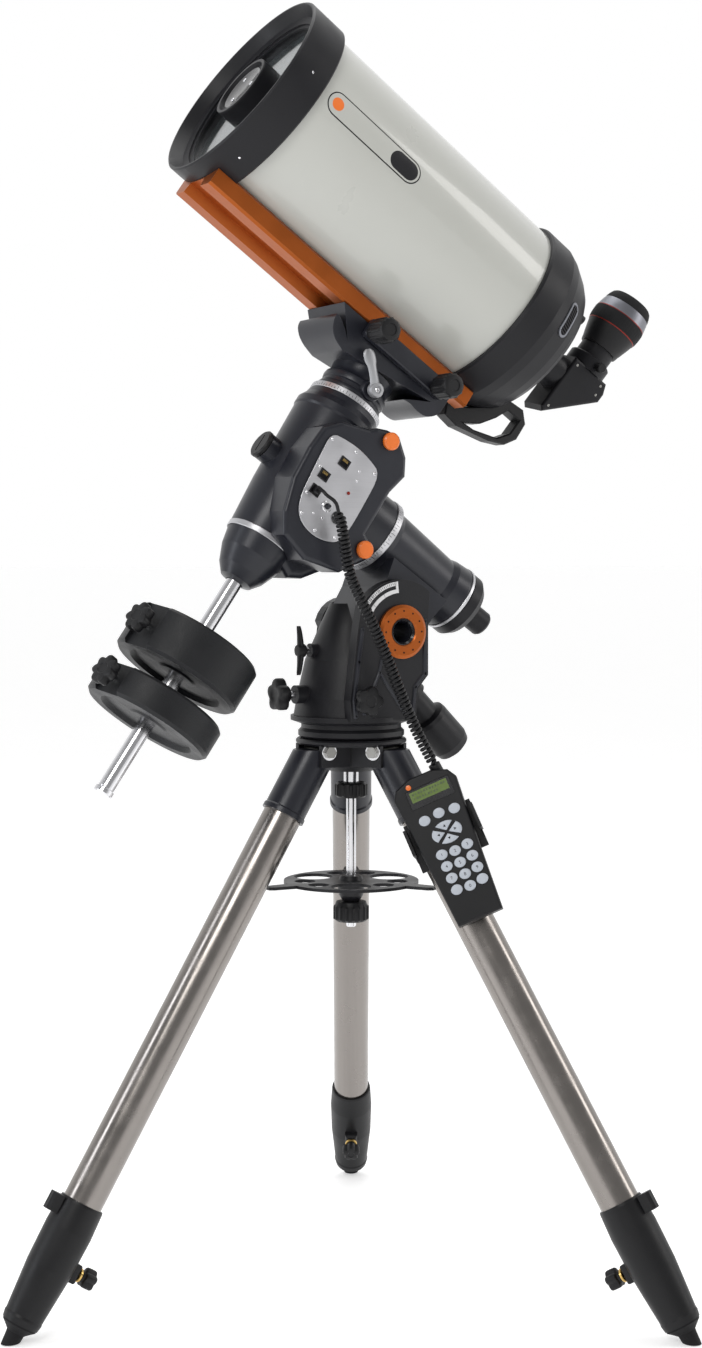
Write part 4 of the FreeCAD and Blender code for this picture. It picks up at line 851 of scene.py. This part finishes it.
def make_handset():
    top = 13.5
    keys = bmesh.new()
    dome = [(0, 0.05), (6.2, 0.05), (6.5, 1.0), (6.1, 1.8), (4.6, 2.15), (2.4, 2.28), (0, 2.3)]
    spots = [(4 + 20.5 * side, 48.5 - 2.2 * abs(side)) for side in (-1, 0, 1)]
    pad = [(4 + 17.5 * side, -3.2 + 1.8 * abs(side) - 15.8 * row) for row in range(4) for side in (-1, 0, 1)]
    for x, y in spots + pad:
        add_lathe(keys, dome, 40, Matrix.Translation((x, y, top)) @ Matrix.Diagonal((1.16, 1, 1, 1)))
    made = finish_mesh("keys_round", keys, "handset", "key_plastic", HANDSET)
    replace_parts(made, "handset_keys")
    arrows = bmesh.new()
    for start in (-45, 45, 135, 225):
        loops = []
        for grow, level in ((1.0, 0.05), (1.0, 1.3), (0.93, 1.95), (0.80, 2.2)):
            mid = math.radians(start + 45)
            shift = Vector((4 + 2.1 * math.cos(mid) * 1.2, 22.5 + 2.1 * math.sin(mid), top + level))
            fan = [(0.0, 0.0)] + oval(0, 0, 17.4, 12.2, 14, start + 3, start + 87)
            centre = (8.5 * math.cos(mid), 6.0 * math.sin(mid))
            loops.append([arrows.verts.new(shift + Vector((centre[0] + (x - centre[0]) * grow,
                                                           centre[1] + (y - centre[1]) * grow, 0)))
                          for x, y in fan])
        skin(arrows, loops)
    finish_mesh("keys_arrow", arrows, "handset", "key_plastic", HANDSET)
    marks = bmesh.new()
    for angle in (0, 90, 180, 270):
        a = math.radians(angle)
        centre = Vector((4 + 11.5 * math.cos(a), 22.5 + 8.5 * math.sin(a), 0))
        spin = Matrix.Translation(centre) @ Matrix.Rotation(a, 4, "Z")
        add_prism(marks, [(-1.6, -1.7), (1.7, 0), (-1.6, 1.7)], top + 2.0, top + 2.34, spin)
    finish_mesh("arrow_marks", marks, "handset", "badge_dark", HANDSET)
    digits = bmesh.new()
    for number, (x, y) in zip("1234567890", pad[:9] + pad[10:11]):
        add_text(digits, number, 5.6, Matrix.Translation((x, y - 2.0, top + 2.28)))
    finish_mesh("key_digits", digits, "handset", "badge_dark", HANDSET)
    for name, loop, low, high, slot, look, bevel in (
            ("screen_bezel", rectangle(-25.8, 64.2, 33.8, 88.8), 12.15, 12.9, "black_plastic", "badge_dark", 0.3),
            ("screen_pane", rectangle(-21.5, 72.5, 29.5, 86.2), 12.8, 13.05, "key_plastic", "screen_green", 0.08)):
        work = bmesh.new()
        add_prism(work, loop, low, high)
        finish_mesh(name, work, "handset", look, HANDSET, bevel=bevel)
    lines = bmesh.new()
    for row, y in enumerate((81.2, 75.6)):
        for i in range(12 - 3 * row):
            wide = (2.4, 1.5, 2.8, 2.0)[(i + row) % 4]
            x = -18.5 + 3.9 * i
            add_prism(lines, rectangle(x, y, x + wide, y + 2.6), 13.0, 13.1)
    finish_mesh("screen_lines", lines, "handset", "screen_dark", HANDSET)
    lathe("handset_dot", [(0, 0), (3.4, 0), (3.4, 0.25), (3.0, 0.35), (0, 0.35)], "handset",
          "orange_plastic", HANDSET @ shifted(-19, 93.2, top), 40)


def add_text(work, text, size, place):
    """Flat raised characters, centred on a point, in millimetres."""
    curve = bpy.data.curves.new("text", "FONT")
    curve.body = text
    curve.size = size
    curve.extrude = 0.06
    curve.align_x = "CENTER"
    obj = bpy.data.objects.new("text", curve)
    bpy.context.scene.collection.objects.link(obj)
    bpy.context.view_layer.update()
    mesh = bpy.data.meshes.new_from_object(obj.evaluated_get(bpy.context.evaluated_depsgraph_get()))
    mesh.transform(place)
    work.from_mesh(mesh)
    bpy.data.objects.remove(obj)
    bpy.data.meshes.remove(mesh)


material("screen_dark", (0.035, 0.06, 0.012), 0.4, vary=0.1)
make_handset()

# ---------------------------------------------------------------- control panel


PANEL_Y = -84.65
SQUARE_SOCKETS = ((6, 16), (-9, -14), (-8, -37))
WITHOUT_CONTACTS = (-8, -37)


def socket_outline(x, z, half_wide, half_tall):
    return rectangle(x - half_wide, z - half_tall, x + half_wide, z + half_tall)


def make_panel():
    """The silver plate with its screws, its socket frames and contacts, a lamp and a switch bezel."""
    flat = HEAD @ near_side((0, PANEL_Y, 0))
    outline = chaikin([(-31, 37), (-8, 42), (12, 44), (34, 42), (57, 36), (60, -8), (61, -54), (55, -76), (22, -87),
                       (-8, -80), (-21, -58), (-25, -25), (-28, 5)], 2)
    plate = bmesh.new()
    add_prism(plate, outline, -2.4, -0.05)
    made = finish_mesh("panel_face", plate, "polar_assembly", "plate_metal", flat, bevel=0.5)
    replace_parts(made, "panel_plate")
    # The socket wells are flat dark sheets: the sockets' own black with painted shade in their recesses.
    wells = bmesh.new()
    for x, z in SQUARE_SOCKETS:
        add_prism(wells, socket_outline(x, z, 5.6, 4.8), -0.1, 0.05)
    finish_mesh("socket_wells", wells, "polar_assembly", "recess_black_and_shade", flat)
    screws = bmesh.new()
    for x, z in ((-25, 31), (12, 38), (50, 31), (54, -51), (49, -70), (20, -79), (-8, -72), (-20, -8), (-17, -46)):
        screw_head(screws, Matrix.Translation((x, z, 0)), 2.3, 1.1)
    for x, z in ((30, 20), (34, 8), (6, -62), (20, -60)):
        screw_head(screws, Matrix.Translation((x, z, 0)), 1.7, 0.8)
    finish_mesh("panel_screws", screws, "polar_assembly", "bright_steel", flat)
    frames, contacts = bmesh.new(), bmesh.new()
    for x, z in SQUARE_SOCKETS:
        outer = socket_outline(x, z, 7.6, 6.6)
        inner = socket_outline(x, z, 5.7, 4.9)
        for k in range(4):
            j = (k + 1) % 4
            add_prism(frames, [outer[k], outer[j], inner[j], inner[k]], -0.2, 0.9)
        if (x, z) == WITHOUT_CONTACTS:
            continue
        for i in range(6):
            left = x - 3.9 + 1.45 * i
            add_prism(contacts, rectangle(left, z + 1.2, left + 0.6, z + 4.7), 0.02, 0.2)
    bmesh.ops.remove_doubles(frames, verts=frames.verts, dist=0.001)
    finish_mesh("socket_frames", frames, "polar_assembly", "black_plastic", flat)
    finish_mesh("socket_contacts", contacts, "polar_assembly", "brass", flat)
    lathe("panel_lamp", [(0, 0), (2.3, 0), (2.3, 0.6), (1.6, 1.5), (0, 1.9)], "polar_assembly",
          "red_ring", flat @ shifted(33, -12, 0), 24)
    lathe("switch_bezel", [(4.3, -0.1), (7.2, -0.1), (7.2, 1.0), (6.4, 1.7), (4.3, 1.7)], "polar_assembly",
          "bright_steel", flat @ shifted(17, -44, 0), 48)
    lathe("round_socket", [(0, -0.1), (8.6, -0.1), (8.6, 1.2), (7.6, 2.0), (5.6, 2.0), (5.2, 0.6), (0, 0.6)],
          "polar_assembly", "badge_dark", flat @ shifted(38, -47, 0), 48)


make_panel()

# ---------------------------------------------------------------- washers, cast ribs and the tube's shell

WASHER_OUT = 35.1


def make_washers():
    """A turned washer under the head of each leg pivot bolt."""
    work = bmesh.new()
    for azimuth in LEGS.values():
        frame_mm = leg_frame(azimuth)
        frame_mm.translation /= MM
        pivot = frame_mm @ Matrix.Rotation(math.radians(-90), 4, "X")
        for side in (-1, 1):
            flip = pivot @ (Matrix.Identity(4) if side > 0 else Matrix.Rotation(math.pi, 4, "X"))
            add_lathe(work, [(5.2, WASHER_OUT), (10.2, WASHER_OUT), (10.6, WASHER_OUT + 0.4),
                             (10.4, WASHER_OUT + 1.3), (5.2, WASHER_OUT + 1.3)], 40, flip)
    finish_mesh("bolt_washers", work, "tripod", "bright_steel", Matrix.Identity(4))


def ridge(work, points, wide, tall):
    """A raised rib with sloping sides along a line, round at its corners."""
    for (x0, y0), (x1, y1) in zip(points, points[1:]):
        along = Vector((x1 - x0, y1 - y0)).normalized()
        side = Vector((-along.y, along.x))
        rows = []
        for half, level in ((wide / 2, -0.6), (wide / 2 - 0.4, 0.3), (wide / 2 - 1.8, tall)):
            rows.append([work.verts.new((x0 + side.x * half, y0 + side.y * half, level)),
                         work.verts.new((x0 - side.x * half, y0 - side.y * half, level)),
                         work.verts.new((x1 - side.x * half, y1 - side.y * half, level)),
                         work.verts.new((x1 + side.x * half, y1 + side.y * half, level))])
        skin(work, rows)
    for x, y in points:
        add_lathe(work, [(0, -0.6), (wide / 2, -0.6), (wide / 2 - 0.4, 0.3), (wide / 2 - 1.8, tall), (0, tall)], 20,
                  Matrix.Translation((x, y, 0)))


def make_cheek_ribs():
    """The rim and the braces cast on the outside of the near and far cheeks."""
    for sign, label, radius in ((-1, "near", 62), (1, "far", 38)):
        place = aimed((0, sign * 78, 0), (0, sign, 0), (0, 0, 1))
        arc = [(PIVOT_X + radius * math.cos(math.radians(a)), PIVOT_Z + radius * math.sin(math.radians(a)))
               for a in range(148, 50, -8)]
        front = {"near": [(-38, 744), (-40, 765), (-34, 814), (-28, 856)],
                 "far": [(-36, 744), (-32, 766), (-20, 812), (-6, 846)]}[label]
        rim = front + arc + [(66, 866), (66, 797), (51, 780), (47, 744)]
        lines = [(rim[-4:], 7), (rim[:4], 7), (((-26, 748), (-3, 800), (34, 748)), 6), (((-3, 800), (2, 822)), 6)]
        if sign > 0:
            lines.insert(0, (rim, 7))
        work = bmesh.new()
        for line, wide in lines:
            ridge(work, [(-sign * x, z) for x, z in line], wide, 1.8)
        finish_mesh("cheek_ribs_" + label, work, "azimuth_base", "mount_gunmetal", place)


make_cheek_ribs()


def make_tube():
    shell = lathe("optical_tube_shell", [(127.6, 44), (129, 44), (129, 452), (127.6, 452)], "telescope",
                  "tube_paint", TUBE, 256)
    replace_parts(shell, "optical_tube")


make_washers()
make_tube()

# ---------------------------------------------------------------- floor, light and sky


def area_light(name, spot, target, size, power, colour):
    data = bpy.data.lights.new(name, "AREA")
    data.shape = "RECTANGLE"
    data.size, data.size_y = size
    data.energy = power
    data.color = colour
    lamp = bpy.data.objects.new(name, data)
    bpy.context.scene.collection.objects.link(lamp)
    lamp.location = spot
    lamp.rotation_euler = (Vector(target) - Vector(spot)).to_track_quat("-Z", "Y").to_euler()


floor_mesh = bmesh.new()
bmesh.ops.create_grid(floor_mesh, x_segments=1, y_segments=1, size=300)
floor_data = bpy.data.meshes.new("floor")
floor_mesh.to_mesh(floor_data)
floor_mesh.free()
floor = bpy.data.objects.new("floor", floor_data)
floor.location = (0, 0, -0.001)
bpy.context.scene.collection.objects.link(floor)
material("floor_pale", (0.86, 0.86, 0.86), 0.75, vary=0.01, spots=2, bump=0.02, grain=60)
set_inputs(MATERIALS["floor_pale"].node_tree.nodes["Principled BSDF"], Emission_Color=(1, 1, 1, 1),
           Emission_Strength=0.42)
floor_data.materials.append(MATERIALS["floor_pale"])

area_light("key", (-2.6, -2.2, 3.0), (0, 0, 1.0), (1.4, 1.4), 50, (1.0, 0.99, 0.97))
area_light("left", (-3.2, 0.6, 1.4), (0, 0, 0.8), (0.7, 2.8), 30, (0.92, 0.95, 1.0))
area_light("right", (2.6, -1.8, 1.8), (0, 0, 0.9), (0.8, 2.4), 26, (1.0, 0.98, 0.96))
area_light("top", (0.3, 0.4, 4.0), (0, 0, 1.0), (2.4, 2.4), 34, (1.0, 1.0, 1.0))


def studio_world():
    """A white sky behind the object that falls off to a dark room in front of it."""
    world = bpy.data.worlds.new("studio")
    world.use_nodes = True
    tree = world.node_tree
    back = tree.nodes["Background"]
    facing = add_node(tree, "VectorMath", {"operation": "DOT_PRODUCT"})
    facing.inputs[1].default_value = (0.5, 0.866, 0.0)
    fall = add_node(tree, "MapRange", {"interpolation_type": "SMOOTHSTEP"}, From_Min=-0.35, From_Max=0.75,
                    To_Min=0.38, To_Max=1.0)
    link(tree, add_node(tree, "TexCoord").outputs["Generated"], facing.inputs[0])
    link(tree, facing.outputs["Value"], fall.inputs["Value"])
    link(tree, fall.outputs["Result"], back.inputs["Strength"])
    set_inputs(back, Color=(1, 1, 1, 1))
    bpy.context.scene.world = world


studio_world()
bpy.context.scene.view_settings.view_transform = "Standard"
